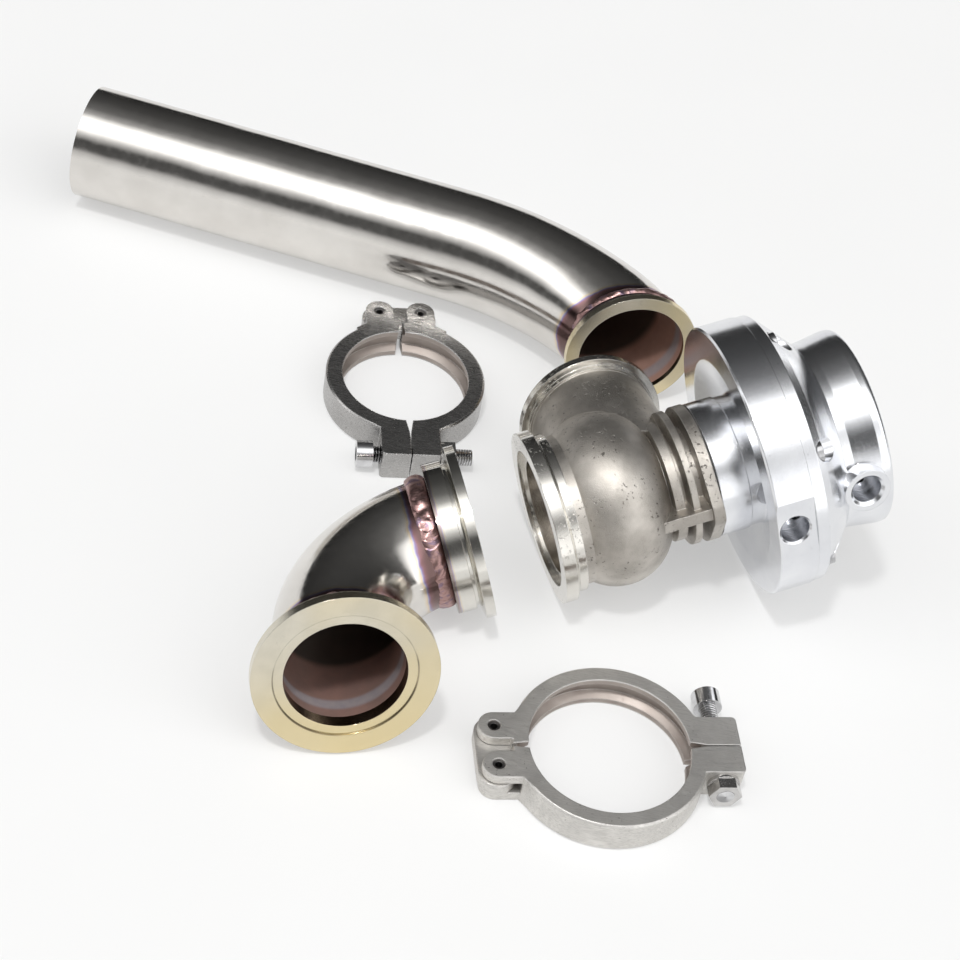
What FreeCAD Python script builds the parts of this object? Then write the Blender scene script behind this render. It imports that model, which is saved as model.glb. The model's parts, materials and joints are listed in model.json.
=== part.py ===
import FreeCAD, Part
import math
import os
import Sketcher
from FreeCAD import Placement, Rotation, Vector

# A wastegate kit laid out on a flat surface: the valve with its diaphragm actuator, a
# 90 degree inlet elbow, a bent dump tube, and the two band clamps that join them.
# Every item has its own frame, in which its pieces are drawn. The frames are set down
# on the surface by the contacts that each item really rests on.

doc = FreeCAD.newDocument("WastegateKit")

# ---------------------------------------------------------------- driving dimensions (mm)

DIMENSIONS = {
    # valve body casting: stations run along the valve axis from the inlet face
    "inlet_rim_radius": 31.0,
    "inlet_rim_width": 4.6,
    "inlet_hub_radius": 28.5,
    "inlet_hub_end": 8.8,
    "throat_radius": 26.8,
    "globe_ring_radius": 11.5,
    "globe_station": 24.9,
    "globe_round": 19.8,
    "casting_wall": 3.3,
    "tower_radius": 17.5,
    "ridge_station": 46.0,
    "ridge_radius": 21.5,
    "ridge_width": 3.4,
    "fin_station": 51.0,
    "fin_radius": 24.2,
    "fin_width": 2.4,
    "pad_radius": 24.6,
    "pad_lobe_radius": 6.5,
    "pad_lobe_reach": 22.5,
    "pad_thickness": 4.0,
    "body_top": 59.4,
    "rib_reach": 26.2,
    "rib_width": 4.6,
    "rib_start": 37.9,
    # side outlet
    "outlet_station": 34.1,
    "outlet_root": 3.0,
    "outlet_reach": 51.0,
    "outlet_pipe_radius": 23.1,
    "outlet_bore_radius": 19.6,
    "outlet_rim_radius": 26.5,
    "outlet_rim_width": 3.2,
    "outlet_hub_radius": 24.0,
    "outlet_hub_width": 2.2,
    # valve, seat and guide
    "seat_outer_radius": 24.75,
    "seat_bore_radius": 20.5,
    "seat_front": 2.0,
    "seat_top": 9.0,
    "seat_bevel": 1.4,
    "seat_gap": 0.12,
    "valve_radius": 22.0,
    "valve_edge": 1.4,
    "valve_side_gap": 0.8,
    "tulip_radius": 8.0,
    "tulip_height": 4.2,
    "stem_radius": 4.0,
    "stem_thread_radius": 3.0,
    "running_gap": 0.05,
    "guide_radius": 7.0,
    "guide_start": 36.4,
    # actuator base
    "gasket_thickness": 0.8,
    "base_neck_radius": 24.2,
    "base_neck_line": 70.4,
    "base_shoulder_radius": 23.6,
    "collar_bottom": 71.6,
    "collar_radius": 49.0,
    "collar_edge": 0.7,
    "collar_land_width": 11.5,
    "collar_root": 75.8,
    "split_station": 85.4,
    "chamber_inset": 12.0,
    "chamber_floor": 78.6,
    "bead_inset": 8.4,
    "bead_depth": 1.6,
    "port_flat_depth": 1.4,
    "port_radius": 5.15,
    "port_depth": 8.0,
    "port_passage_radius": 2.0,
    "port_bevel": 0.7,
    "boss_bevel": 1.1,
    "base_port_station": 77.8,
    "stem_seal_radius": 7.0,
    "stem_seal_height": 3.0,
    "plug_radius": 2.5,
    "plug_length": 6.0,
    "plug_station": 81.3,
    "plug_angle": 53.0,
    # actuator cap
    "cap_step": 0.5,
    "cap_rim_height": 4.2,
    "dome_top_station": 102.4,
    "waist_inset": 15.0,
    "cap_end_inset": 13.6,
    "cap_top": 118.9,
    "cap_end_round": 2.0,
    "cap_wall": 4.4,
    "cap_mouth_step": 1.0,
    "boss_radius": 8.25,
    "boss_inset": 10.5,
    "boss_station": 107.7,
    # fasteners of the valve
    "cap_screw_inset": 5.5,
    "cap_screw_radius": 2.5,
    "cap_screw_length": 14.0,
    "cap_screw_head_radius": 4.0,
    "cap_screw_head_height": 4.2,
    "cap_screw_seat": 3.0,
    "cap_screw_start_angle": 30.0,
    "head_clearance": 0.25,
    "screw_hole_clearance": 0.25,
    "body_screw_circle": 13.0,
    "body_screw_length": 25.0,
    "body_screw_head_radius": 4.25,
    "body_screw_head_height": 5.0,
    # diaphragm stack
    "convolution_width": 9.0,
    "plate_thickness": 2.0,
    "plate_floor_gap": 1.6,
    "diaphragm_thickness": 1.0,
    "cup_rim_height": 4.0,
    "cup_rim_wall": 2.0,
    "nut_width": 10.0,
    "nut_height": 5.0,
    "stem_end_stand": 1.5,
    "outer_spring_inset": 6.0,
    "outer_spring_wire": 3.6,
    "outer_spring_turns": 5.5,
    "inner_spring_radius": 14.0,
    "inner_spring_wire": 2.6,
    "inner_spring_turns": 7.5,
    # tubing shared by the elbow and the dump tube
    "tube_radius": 22.225,
    "tube_wall": 1.65,
    "weld_height": 2.2,
    "weld_overcut": 1.8,
    "socket_depth": 4.0,
    "socket_gap": 0.03,
    # inlet elbow: legs run from the corner where the two axes meet
    "elbow_bend_radius": 44.45,
    "large_leg": 62.0,
    "large_rim_radius": 31.25,
    "large_rim_width": 3.6,
    "large_hub_radius": 26.0,
    "large_flange_depth": 9.6,
    "large_recess_radius": 24.0,
    "large_recess_depth": 0.6,
    "small_leg": 54.0,
    "small_rim_radius": 30.6,
    "small_rim_width": 3.4,
    "small_hub_radius": 26.6,
    "small_groove_width": 1.2,
    "small_groove_depth": 1.2,
    "small_flange_depth": 12.4,
    "rim_slope": 1.2,
    "elbow_weld_width": 6.0,
    # dump tube
    "dump_straight": 153.0,
    "dump_wide_radius": 117.4,
    "dump_wide_angle": 34.9,
    "dump_short_radius": 34.0,
    "dump_bend_angle": 64.0,
    "dump_end": 2.6,
    "dump_socket_depth": 4.4,
    "dump_weld_width": 4.4,
    "dump_rim_radius": 25.6,
    "dump_rim_width": 2.8,
    "dump_hub_radius": 23.5,
    "dump_flange_depth": 6.5,
    # band clamps
    "clamp_thickness": 12.5,
    "clamp_lip": 2.2,
    "clamp_groove_depth": 3.0,
    "clamp_groove_slope": 1.6,
    "clamp_edge": 0.7,
    "outlet_clamp_radius": 30.2,
    "outlet_clamp_lip_radius": 24.0,
    "inlet_clamp_radius": 33.4,
    "inlet_clamp_lip_radius": 27.6,
    "pin_spacing": 15.9,
    "pin_offset": 5.2,
    "pin_radius": 2.2,
    "pin_bore_radius": 1.3,
    "pin_recess": 0.6,
    "knuckle_radius": 5.4,
    "link_thickness": 4.6,
    "link_radius": 6.4,
    "link_side_gap": 0.3,
    "link_end_gap": 1.4,
    "ear_width": 11.0,
    "inlet_head_ear_width": 12.0,
    "ear_flare": 4.0,
    "ear_reach": 11.5,
    "ear_gap_inner": 1.3,
    "ear_gap_outer": 0.25,
    "ear_round": 1.5,
    "clamp_screw_radius": 3.0,
    "clamp_screw_hole": 3.8,
    "outlet_screw_inset": 5.6,
    "inlet_screw_inset": 6.9,
    "outlet_screw_stand": 3.0,
    "inlet_screw_stand": 8.3,
    "clamp_screw_head_radius": 5.0,
    "clamp_screw_head_height": 6.0,
    "clamp_screw_length": 37.0,
    "clamp_nut_width": 10.0,
    "clamp_nut_height": 4.2,
    "clamp_nut_collar_radius": 5.6,
    "clamp_nut_collar": 1.4,
    # where each item lies and which way it points
    "valve_yaw": 25.3,
    "valve_across": 22.9,
    "valve_away": -42.3,
    "elbow_yaw": -73.4,
    "elbow_across": -47.0,
    "elbow_away": -72.8,
    "dump_yaw": -6.76,
    "dump_across": -179.8,
    "dump_away": 120.8,
    "outlet_clamp_yaw": 13.0,
    "outlet_clamp_across": -35.4,
    "outlet_clamp_away": 34.2,
    "inlet_clamp_yaw": 104.0,
    "inlet_clamp_across": 60.2,
    "inlet_clamp_away": -121.0,
}

sheet = doc.addObject("Spreadsheet::Sheet", "Sizes")
for row, (name, value) in enumerate(DIMENSIONS.items(), start=1):
    sheet.set(f"A{row}", name)
    sheet.set(f"B{row}", str(value))
    sheet.setAlias(f"B{row}", name)
doc.recompute()


class Size:
    """A length or angle together with the sheet expression that gives it."""

    def __init__(self, value, text=None):
        self.value = float(value)
        self.text = f"{self.value:g}" if text is None else text

    @property
    def bound(self):
        return "Sizes." in self.text

    def __add__(self, other):
        other = size(other)
        return Size(self.value + other.value, f"({self.text} + {other.text})")

    def __sub__(self, other):
        other = size(other)
        return Size(self.value - other.value, f"({self.text} - {other.text})")

    def __mul__(self, other):
        other = size(other)
        return Size(self.value * other.value, f"({self.text} * {other.text})")

    def __truediv__(self, other):
        other = size(other)
        return Size(self.value / other.value, f"({self.text} / {other.text})")

    def __neg__(self):
        return Size(-self.value, f"(-1 * {self.text})")

    def __radd__(self, other):
        return size(other) + self

    def __rsub__(self, other):
        return size(other) - self

    __rmul__ = __mul__


def size(amount):
    return amount if isinstance(amount, Size) else Size(amount)


def root(amount):
    return Size(math.sqrt(amount.value), f"sqrt({amount.text})")


def cosine(angle):
    return Size(math.cos(math.radians(angle.value)), f"cos({angle.text})")


def sine(angle):
    return Size(math.sin(math.radians(angle.value)), f"sin({angle.text})")


class SizeTable:
    """The driving dimensions by name, as sizes that stay bound to the sheet."""

    def __getattr__(self, name):
        return Size(DIMENSIONS[name], f"Sizes.{name}")


S = SizeTable()

# the actuator's rings, its springs and its port follow the collar's radius
S.cap_rim_radius = S.collar_radius - S.cap_step
S.cap_screw_circle = S.collar_radius - S.cap_screw_inset
S.bead_radius = S.collar_radius - S.bead_inset
S.chamber_radius = S.collar_radius - S.chamber_inset
S.cap_mouth_radius = S.chamber_radius - S.cap_mouth_step
S.collar_land_radius = S.collar_radius - S.collar_land_width
S.cap_end_radius = S.collar_radius - S.cap_end_inset
S.waist_radius = S.collar_radius - S.waist_inset
S.boss_reach = S.collar_radius - S.boss_inset
S.port_flat = S.collar_radius - S.port_flat_depth
S.plate_radius = S.chamber_radius - S.convolution_width
S.outer_spring_radius = S.plate_radius - S.outer_spring_inset

# ---------------------------------------------------------------- modelling helpers

pieces = []


def bind(feature, field, amount):
    amount = size(amount)
    if amount.bound:
        feature.setExpression(field, amount.text)
    else:
        setattr(feature, field, amount.value)


def new_body(label):
    body = doc.addObject("PartDesign::Body", label)
    body.Label = label
    pieces.append(body)
    return body


def new_sketch(body, role, lift=None):
    """A sketch on an origin plane of the body, lifted along the plane's normal."""
    drawing = body.newObject("Sketcher::SketchObject", f"{body.Name}_sketch")
    plane = next(item for item in body.Origin.OriginFeatures if item.Role == role)
    drawing.AttachmentSupport = [(plane, "")]
    drawing.MapMode = "FlatFace"
    if lift is not None:
        drawing.setExpression(".AttachmentOffset.Base.z", size(lift).text)
    return drawing


def turned_sketch(body, angle, distance):
    """A sketch that faces outward from the Z axis, at an angle from X and a distance."""
    drawing = new_sketch(body, "YZ_Plane")
    upright = Rotation(Vector(0, 1, 0), angle.value)
    drawing.AttachmentOffset = Placement(Vector(), upright)
    drawing.setExpression(".AttachmentOffset.Rotation.Angle", angle.text)
    drawing.setExpression(".AttachmentOffset.Base.x", (distance * sine(angle)).text)
    drawing.setExpression(".AttachmentOffset.Base.z", (distance * cosine(angle)).text)
    return drawing


def fix_point(drawing, edge, end, x=None, y=None):
    """Dimension one point of a sketch edge from the sketch's origin."""
    for kind, amount in (("DistanceX", x), ("DistanceY", y)):
        if amount is None:
            continue
        amount = size(amount)
        rule = Sketcher.Constraint(kind, -1, 1, edge, end, amount.value)
        index = drawing.addConstraint(rule)
        if amount.bound:
            drawing.setExpression(f"Constraints[{index}]", amount.text)


class Arc:
    """An arc to the next corner: its end has one given coordinate, the circle the other."""

    def __init__(self, centre, x=None, y=None, side=1, left=True):
        self.centre = (size(centre[0]), size(centre[1]))
        self.x = x
        self.y = y
        self.side = side
        self.left = left

    def end(self, start):
        cx, cy = self.centre[0].value, self.centre[1].value
        radius = math.hypot(start[0] - cx, start[1] - cy)
        if self.x is None:
            y = size(self.y).value
            return cx + self.side * math.sqrt(radius**2 - (y - cy) ** 2), y
        x = size(self.x).value
        return x, cy + self.side * math.sqrt(radius**2 - (x - cx) ** 2)


def draw_arc(drawing, arc, start, end):
    centre = Vector(arc.centre[0].value, arc.centre[1].value, 0)
    radius = math.hypot(start[0] - centre.x, start[1] - centre.y)
    first = math.atan2(start[1] - centre.y, start[0] - centre.x)
    last = math.atan2(end[1] - centre.y, end[0] - centre.x)
    if not arc.left:
        first, last = last, first
    if last <= first:
        last += 2 * math.pi
    circle = Part.Circle(centre, Vector(0, 0, 1), radius)
    return drawing.addGeometry(Part.ArcOfCircle(circle, first, last))


def draw_path(drawing, corners, closed=True):
    """Straight edges and arcs through the corners, dimensioned from the origin.

    A corner is an (x, y) pair, or an Arc that ends in the next corner. A closed path
    returns to its first corner by a straight edge, unless its last corner is an Arc."""
    points = [tuple(size(amount).value for amount in corners[0])]
    edges = []
    route = corners[1:]
    if closed and not isinstance(corners[-1], Arc):
        route = route + [corners[0]]
    for corner in route:
        start = points[-1]
        if isinstance(corner, Arc):
            end = corner.end(start)
            edge = draw_arc(drawing, corner, start, end)
            ends = (1, 2) if corner.left else (2, 1)
            fix_point(drawing, edge, 3, *corner.centre)
            given = (corner.x, corner.y)
        else:
            end = tuple(size(amount).value for amount in corner)
            line = Part.LineSegment(Vector(*start, 0), Vector(*end, 0))
            edge = drawing.addGeometry(line)
            ends = (1, 2)
            given = corner
        edges.append((edge, ends, given))
        points.append(end)
    for (edge, ends, _), (after, after_ends, _) in zip(edges, edges[1:]):
        drawing.addConstraint(
            Sketcher.Constraint("Coincident", edge, ends[1], after, after_ends[0])
        )
    first_edge, first_ends, _ = edges[0]
    if closed:
        last_edge, last_ends, _ = edges[-1]
        drawing.addConstraint(
            Sketcher.Constraint("Coincident", last_edge, last_ends[1], first_edge, first_ends[0])
        )
    else:
        fix_point(drawing, first_edge, first_ends[0], *corners[0])
    for edge, ends, given in edges:
        fix_point(drawing, edge, ends[1], *given)


def draw_circle(drawing, radius, x=0, y=0):
    x, y, radius = size(x), size(y), size(radius)
    centre = Vector(x.value, y.value, 0)
    edge = drawing.addGeometry(Part.Circle(centre, Vector(0, 0, 1), radius.value))
    fix_point(drawing, edge, 3, x, y)
    index = drawing.addConstraint(Sketcher.Constraint("Radius", edge, radius.value))
    if radius.bound:
        drawing.setExpression(f"Constraints[{index}]", radius.text)


def draw_box(drawing, left, low, right, high):
    draw_path(drawing, [(left, low), (right, low), (right, high), (left, high)])


def draw_hexagon(drawing, width, x=0, y=0):
    """A regular hexagon of the given width across its flats."""
    corner = width * (1 / math.sqrt(3))
    steps = [(1, 0), (0.5, 0.5), (-0.5, 0.5), (-1, 0), (-0.5, -0.5), (0.5, -0.5)]
    draw_path(drawing, [(x + corner * step, y + width * rise) for step, rise in steps])


def draw_lobed_plate(drawing, radius, lobe_radius, lobe_reach):
    """A round plate drawn out to a lobe on each side, with tangent flanks."""
    lean = (radius - lobe_radius) / lobe_reach
    rise = root(1 - lean * lean)
    flank = (radius * lean, radius * rise)
    tip = (lobe_reach + lobe_radius * lean, lobe_radius * rise)
    draw_path(drawing, [
        tip,
        flank,
        Arc((0, 0), y=flank[1], side=-1),
        (-tip[0], tip[1]),
        Arc((-lobe_reach, 0), y=-tip[1], side=-1),
        (-flank[0], -flank[1]),
        Arc((0, 0), y=-flank[1], side=1),
        (tip[0], -tip[1]),
        Arc((lobe_reach, 0), y=tip[1], side=1),
    ])


def feature_of(body, kind, drawing):
    feature = body.newObject(f"PartDesign::{kind}", f"{body.Name}_{kind}")
    feature.Profile = drawing
    drawing.Visibility = False
    return feature


def revolve(body, corners, axis="V_Axis", cut=False, role="XZ_Plane"):
    """Turn an outline about an axis of its sketch, adding to the body or cutting it."""
    drawing = new_sketch(body, role)
    draw_path(drawing, corners)
    feature = feature_of(body, "Groove" if cut else "Revolution", drawing)
    feature.ReferenceAxis = (drawing, [axis])
    feature.Angle = 360
    return feature


def pad(body, drawing, length, midplane=False, backward=False):
    feature = feature_of(body, "Pad", drawing)
    bind(feature, "Length", length)
    feature.Midplane = midplane
    feature.Reversed = backward
    return feature


def pocket(body, drawing, depth=None, backward=False):
    """Cut to a depth against the sketch's normal, or right through both ways."""
    feature = feature_of(body, "Pocket", drawing)
    if depth is None:
        feature.Type = "ThroughAll"
        feature.Midplane = True
    else:
        bind(feature, "Length", depth)
        feature.Reversed = backward
    return feature


def ring_pattern(body, features, count):
    """Repeat features around the body's Z axis."""
    pattern = body.newObject("PartDesign::PolarPattern", f"{body.Name}_pattern")
    pattern.Originals = features
    axis = next(item for item in body.Origin.OriginFeatures if item.Role == "Z_Axis")
    pattern.Axis = (axis, [""])
    pattern.Angle = 360
    pattern.Occurrences = count
    body.Tip = pattern
    return pattern


def soften(body, kind, amount, wanted):
    """Round or bevel the edges of the body that the test picks out."""
    doc.recompute()
    base = body.Tip
    names = [
        f"Edge{number}"
        for number, edge in enumerate(base.Shape.Edges, start=1)
        if wanted(edge)
    ]
    if not names:
        raise RuntimeError(f"{body.Label}: no edge to soften")
    feature = body.newObject(f"PartDesign::{kind}", f"{body.Name}_{kind}")
    feature.Base = (base, names)
    bind(feature, "Radius" if kind == "Fillet" else "Size", amount)
    return feature


def circle_at(radius, height):
    """A test for whole circles about Z of this radius at this height."""
    radius, height = size(radius).value, size(height).value

    def wanted(edge):
        curve = edge.Curve
        if not isinstance(curve, Part.Circle):
            return False
        same = abs(curve.Radius - radius) < 0.01 and abs(curve.Center.z - height) < 0.01
        return same and math.hypot(curve.Center.x, curve.Center.y) < 0.01

    return wanted


def port_mouth(radius, distance, height):
    """A test for the circle of a port drilled along X, at its outer face."""
    radius, distance, height = size(radius).value, size(distance).value, size(height).value

    def wanted(edge):
        curve = edge.Curve
        if not isinstance(curve, Part.Circle):
            return False
        offset = curve.Center - Vector(distance, 0, height)
        return abs(curve.Radius - radius) < 0.01 and offset.Length < 0.01

    return wanted


def upright_at(places):
    """A test for straight edges along Z that pass through one of the plan positions."""

    def wanted(edge):
        if not isinstance(edge.Curve, Part.Line):
            return False
        first, last = edge.Vertexes[0].Point, edge.Vertexes[-1].Point
        if math.hypot(first.x - last.x, first.y - last.y) > 0.01:
            return False
        return any(math.hypot(first.x - x, first.y - y) < 0.05 for x, y in places)

    return wanted


def tube_of(inner, outer, low, high):
    """The outline of a plain ring about the vertical axis."""
    return [(inner, low), (outer, low), (outer, high), (inner, high)]


# ---------------------------------------------------------------- valve body and seat

BODY_SCREW_COUNT = 4
CAP_SCREW_COUNT = 6
DIAGONAL = math.sqrt(0.5)


def flange_outline(rim, width, hub, end, slope=None):
    """Outer half of a band flange from its face: rim, sloped back and hub."""
    slope = S.rim_slope if slope is None else slope
    return [(rim, 0), (rim, width), (hub, width + slope), (hub, end)]


def make_valve_body():
    body = new_body("valve_body")
    globe = (S.globe_ring_radius, S.globe_station)
    top_arc = Arc(globe, x=S.tower_radius, side=1, left=True)
    lower_reach = S.throat_radius - S.globe_ring_radius
    lower_end = S.globe_station - root(S.globe_round * S.globe_round - lower_reach * lower_reach)
    shell = [(0, 0)]
    shell += flange_outline(
        S.inlet_rim_radius, S.inlet_rim_width, S.inlet_hub_radius, S.inlet_hub_end
    )
    shell += [(S.throat_radius, S.inlet_hub_end), (S.throat_radius, lower_end), top_arc]
    shell += [(S.tower_radius, S.body_top), (0, S.body_top)]
    revolve(body, shell)

    for station, radius, width in (
        (S.ridge_station, S.ridge_radius, S.ridge_width),
        (S.fin_station, S.fin_radius, S.fin_width),
    ):
        half = width / 2
        core = S.tower_radius - 1
        flank = [(core, station - half * 1.5), (radius, station - half)]
        flank += [(radius, station + half), (core, station + half * 1.5)]
        revolve(body, flank)

    # ribs run from the globe to the mounting pad, under its two lobes
    ribs = new_sketch(body, "XY_Plane", S.rib_start)
    draw_box(ribs, -S.rib_reach, -S.rib_width / 2, S.rib_reach, S.rib_width / 2)
    pad(body, ribs, S.body_top - S.rib_start)
    plate = new_sketch(body, "XY_Plane", S.body_top - S.pad_thickness)
    draw_lobed_plate(plate, S.pad_radius, S.pad_lobe_radius, S.pad_lobe_reach)
    pad(body, plate, S.pad_thickness)

    # side outlet, drawn about the X axis and shifted to the outlet's station
    reach, station = S.outlet_reach, S.outlet_station
    pipe = new_sketch(body, "YZ_Plane", S.outlet_root)
    draw_circle(pipe, S.outlet_pipe_radius, 0, station)
    pad(body, pipe, reach - S.outlet_root)
    rim_start = reach - S.outlet_rim_width
    for inner_end, radius, width in (
        (rim_start, S.outlet_rim_radius, S.outlet_rim_width),
        (rim_start - S.outlet_hub_width, S.outlet_hub_radius, S.outlet_hub_width),
    ):
        ring = new_sketch(body, "YZ_Plane", inner_end)
        draw_circle(ring, radius, 0, station)
        pad(body, ring, width)

    # gas path: seat pocket, throat, globe cavity and outlet bore
    hollow = S.globe_round - S.casting_wall
    bore = S.valve_radius + S.valve_side_gap
    rise = bore - S.globe_ring_radius
    low_end = S.globe_station - root(hollow * hollow - rise * rise)
    cavity = [(0, 0), (S.seat_outer_radius, 0), (S.seat_outer_radius, S.seat_top)]
    cavity += [(bore, S.seat_top), (bore, low_end)]
    cavity += [Arc(globe, x=S.globe_ring_radius, side=1, left=True)]
    cavity += [(0, S.globe_station + hollow)]
    revolve(body, cavity, cut=True)
    outlet = new_sketch(body, "YZ_Plane", reach)
    draw_circle(outlet, S.outlet_bore_radius, 0, station)
    pocket(body, outlet, reach - S.tower_radius)

    # guide bore and the tapped holes that hold the actuator down
    guide = new_sketch(body, "XY_Plane", S.body_top)
    draw_circle(guide, S.guide_radius)
    pocket(body, guide, S.body_top - S.globe_station)
    across = S.body_screw_circle * DIAGONAL
    tapped = new_sketch(body, "XY_Plane", S.body_top)
    draw_circle(tapped, S.cap_screw_radius, across, across)
    hole = pocket(body, tapped, body_screw_grip())
    ring_pattern(body, [hole], BODY_SCREW_COUNT)


def body_screw_grip():
    """How deep the actuator's screws reach into the casting."""
    seat = S.chamber_floor - S.body_screw_head_height - S.head_clearance
    return S.body_screw_length - (seat - S.body_top)


def make_valve_seat():
    body = new_body("valve_seat")
    bevel = S.seat_bore_radius + S.seat_bevel
    revolve(body, [
        (S.seat_bore_radius, S.seat_front),
        (S.seat_outer_radius, S.seat_front),
        (S.seat_outer_radius, S.seat_top),
        (bevel, S.seat_top),
        (S.seat_bore_radius, S.seat_top - S.seat_bevel),
    ])


# the valve's play inside its seat per bore radius, and its tulip's shoulder and
# end per tulip height
SEAT_MARGIN = 0.015
TULIP_SHOULDER, TULIP_END = 0.6, 1.6


def make_valve():
    body = new_body("valve")
    margin = S.seat_bore_radius * SEAT_MARGIN
    face = S.seat_top - S.seat_bevel - margin + S.seat_gap
    face_radius = S.seat_bore_radius - margin
    edge = face + (S.valve_radius - face_radius)
    back = edge + S.valve_edge
    shoulder = stack_station("lower_plate")
    top = stack_station("stem_nut") + S.nut_height + S.stem_end_stand
    revolve(body, [
        (0, face),
        (face_radius, face),
        (S.valve_radius, edge),
        (S.valve_radius, back),
        (S.tulip_radius, back + S.tulip_height * TULIP_SHOULDER),
        (S.stem_radius, back + S.tulip_height * TULIP_END),
        (S.stem_radius, shoulder),
        (S.stem_thread_radius, shoulder),
        (S.stem_thread_radius, top),
        (0, top),
    ])


def make_guide_bush():
    body = new_body("guide_bush")
    inner = S.stem_radius + S.running_gap
    revolve(body, tube_of(inner, S.guide_radius, S.guide_start, S.body_top))


# ---------------------------------------------------------------- actuator

def stack_station(name):
    """Lower face of each piece clamped on the stem, from the chamber floor up."""
    station = S.chamber_floor + S.plate_floor_gap
    for piece, thickness in (
        ("lower_plate", S.plate_thickness),
        ("diaphragm", S.diaphragm_thickness),
        ("spring_cup", S.plate_thickness),
        ("stem_nut", S.nut_height),
    ):
        if piece == name:
            return station
        station = station + thickness
    raise KeyError(name)


def make_gasket():
    body = new_body("gasket")
    revolve(body, tube_of(
        S.guide_radius, S.base_neck_radius - 2, S.body_top, S.body_top + S.gasket_thickness
    ))
    holes = new_sketch(body, "XY_Plane", S.body_top + S.gasket_thickness)
    across = S.body_screw_circle * DIAGONAL
    draw_circle(holes, S.cap_screw_radius + S.screw_hole_clearance, across, across)
    ring_pattern(body, [pocket(body, holes, S.gasket_thickness)], BODY_SCREW_COUNT)


def make_actuator_base():
    body = new_body("actuator_base")
    bottom = S.body_top + S.gasket_thickness
    line = S.base_neck_radius - S.base_shoulder_radius
    revolve(body, [
        (0, bottom),
        (S.base_neck_radius, bottom),
        (S.base_neck_radius, S.base_neck_line),
        (S.base_shoulder_radius, S.base_neck_line + line / 2),
        (S.base_shoulder_radius, S.collar_root),
        (S.collar_land_radius, S.collar_bottom),
        (S.collar_radius - S.collar_edge, S.collar_bottom),
        (S.collar_radius, S.collar_bottom + S.collar_edge),
        (S.collar_radius, S.split_station),
        (0, S.split_station),
    ])

    # pressure chamber, the groove for the diaphragm's bead and the stem's seal pocket
    seal_floor = S.chamber_floor - S.stem_seal_height - S.head_clearance * 4
    stem_bore = S.stem_radius + S.head_clearance
    revolve(body, [
        (0, bottom),
        (stem_bore, bottom),
        (stem_bore, seal_floor),
        (S.stem_seal_radius, seal_floor),
        (S.stem_seal_radius, S.chamber_floor),
        (S.chamber_radius, S.chamber_floor),
        (S.chamber_radius, S.split_station - S.bead_depth),
        (S.bead_radius, S.split_station - S.bead_depth),
        (S.bead_radius, S.split_station),
        (0, S.split_station),
    ], cut=True)

    # screws into the casting: clearance holes with counterbores in the chamber floor
    across = S.body_screw_circle * DIAGONAL
    through = new_sketch(body, "XY_Plane", S.chamber_floor)
    draw_circle(through, S.cap_screw_radius + S.screw_hole_clearance, across, across)
    hole = pocket(body, through, S.chamber_floor - bottom)
    sunk = new_sketch(body, "XY_Plane", S.chamber_floor)
    draw_circle(sunk, S.body_screw_head_radius + S.head_clearance, across, across)
    counterbore = pocket(body, sunk, S.body_screw_head_height + S.head_clearance)
    ring_pattern(body, [hole, counterbore], BODY_SCREW_COUNT)

    # tapped holes for the cap screws
    angle = S.cap_screw_start_angle
    tapped = new_sketch(body, "XY_Plane", S.split_station)
    draw_circle(
        tapped,
        S.cap_screw_radius,
        S.cap_screw_circle * cosine(angle),
        S.cap_screw_circle * sine(angle),
    )
    hole = pocket(body, tapped, S.cap_screw_length - S.cap_screw_seat)
    ring_pattern(body, [hole], CAP_SCREW_COUNT)

    # flat with the lower air port, whose passage enters just above the chamber's floor
    flat = new_sketch(body, "YZ_Plane", -S.port_flat)
    half = S.collar_radius
    draw_box(flat, -half, S.collar_bottom - 1, half, S.split_station + 1)
    pocket(body, flat, S.collar_radius)
    passage_station = S.base_port_station + S.port_radius - S.port_passage_radius - 0.1
    for radius, station, depth in (
        (S.port_radius, S.base_port_station, S.port_depth),
        (S.port_passage_radius, passage_station, S.port_flat - S.plate_radius),
    ):
        port = new_sketch(body, "YZ_Plane", -S.port_flat)
        draw_circle(port, radius, 0, station)
        pocket(body, port, depth, backward=True)
    mouth = (-S.port_flat, S.base_port_station)
    soften(body, "Chamfer", S.port_bevel, port_mouth(S.port_radius, *mouth))

    # small test port for the socket plug
    test_port = turned_sketch(body, S.plug_angle, S.collar_radius + 1)
    draw_circle(test_port, S.plug_radius, 0, S.plug_station)
    pocket(body, test_port, S.plug_length + S.head_clearance + 1)


# the cap's dome: steps inward per fall and upward per rise, then a short land
DOME_PROFILE = ((0.22, 0.25), (0.45, 0.49), (0.77, 0.81))
DOME_LAND = 0.25
# where the boost boss is rooted, per waist radius
BOSS_ROOT = 0.9


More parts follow.
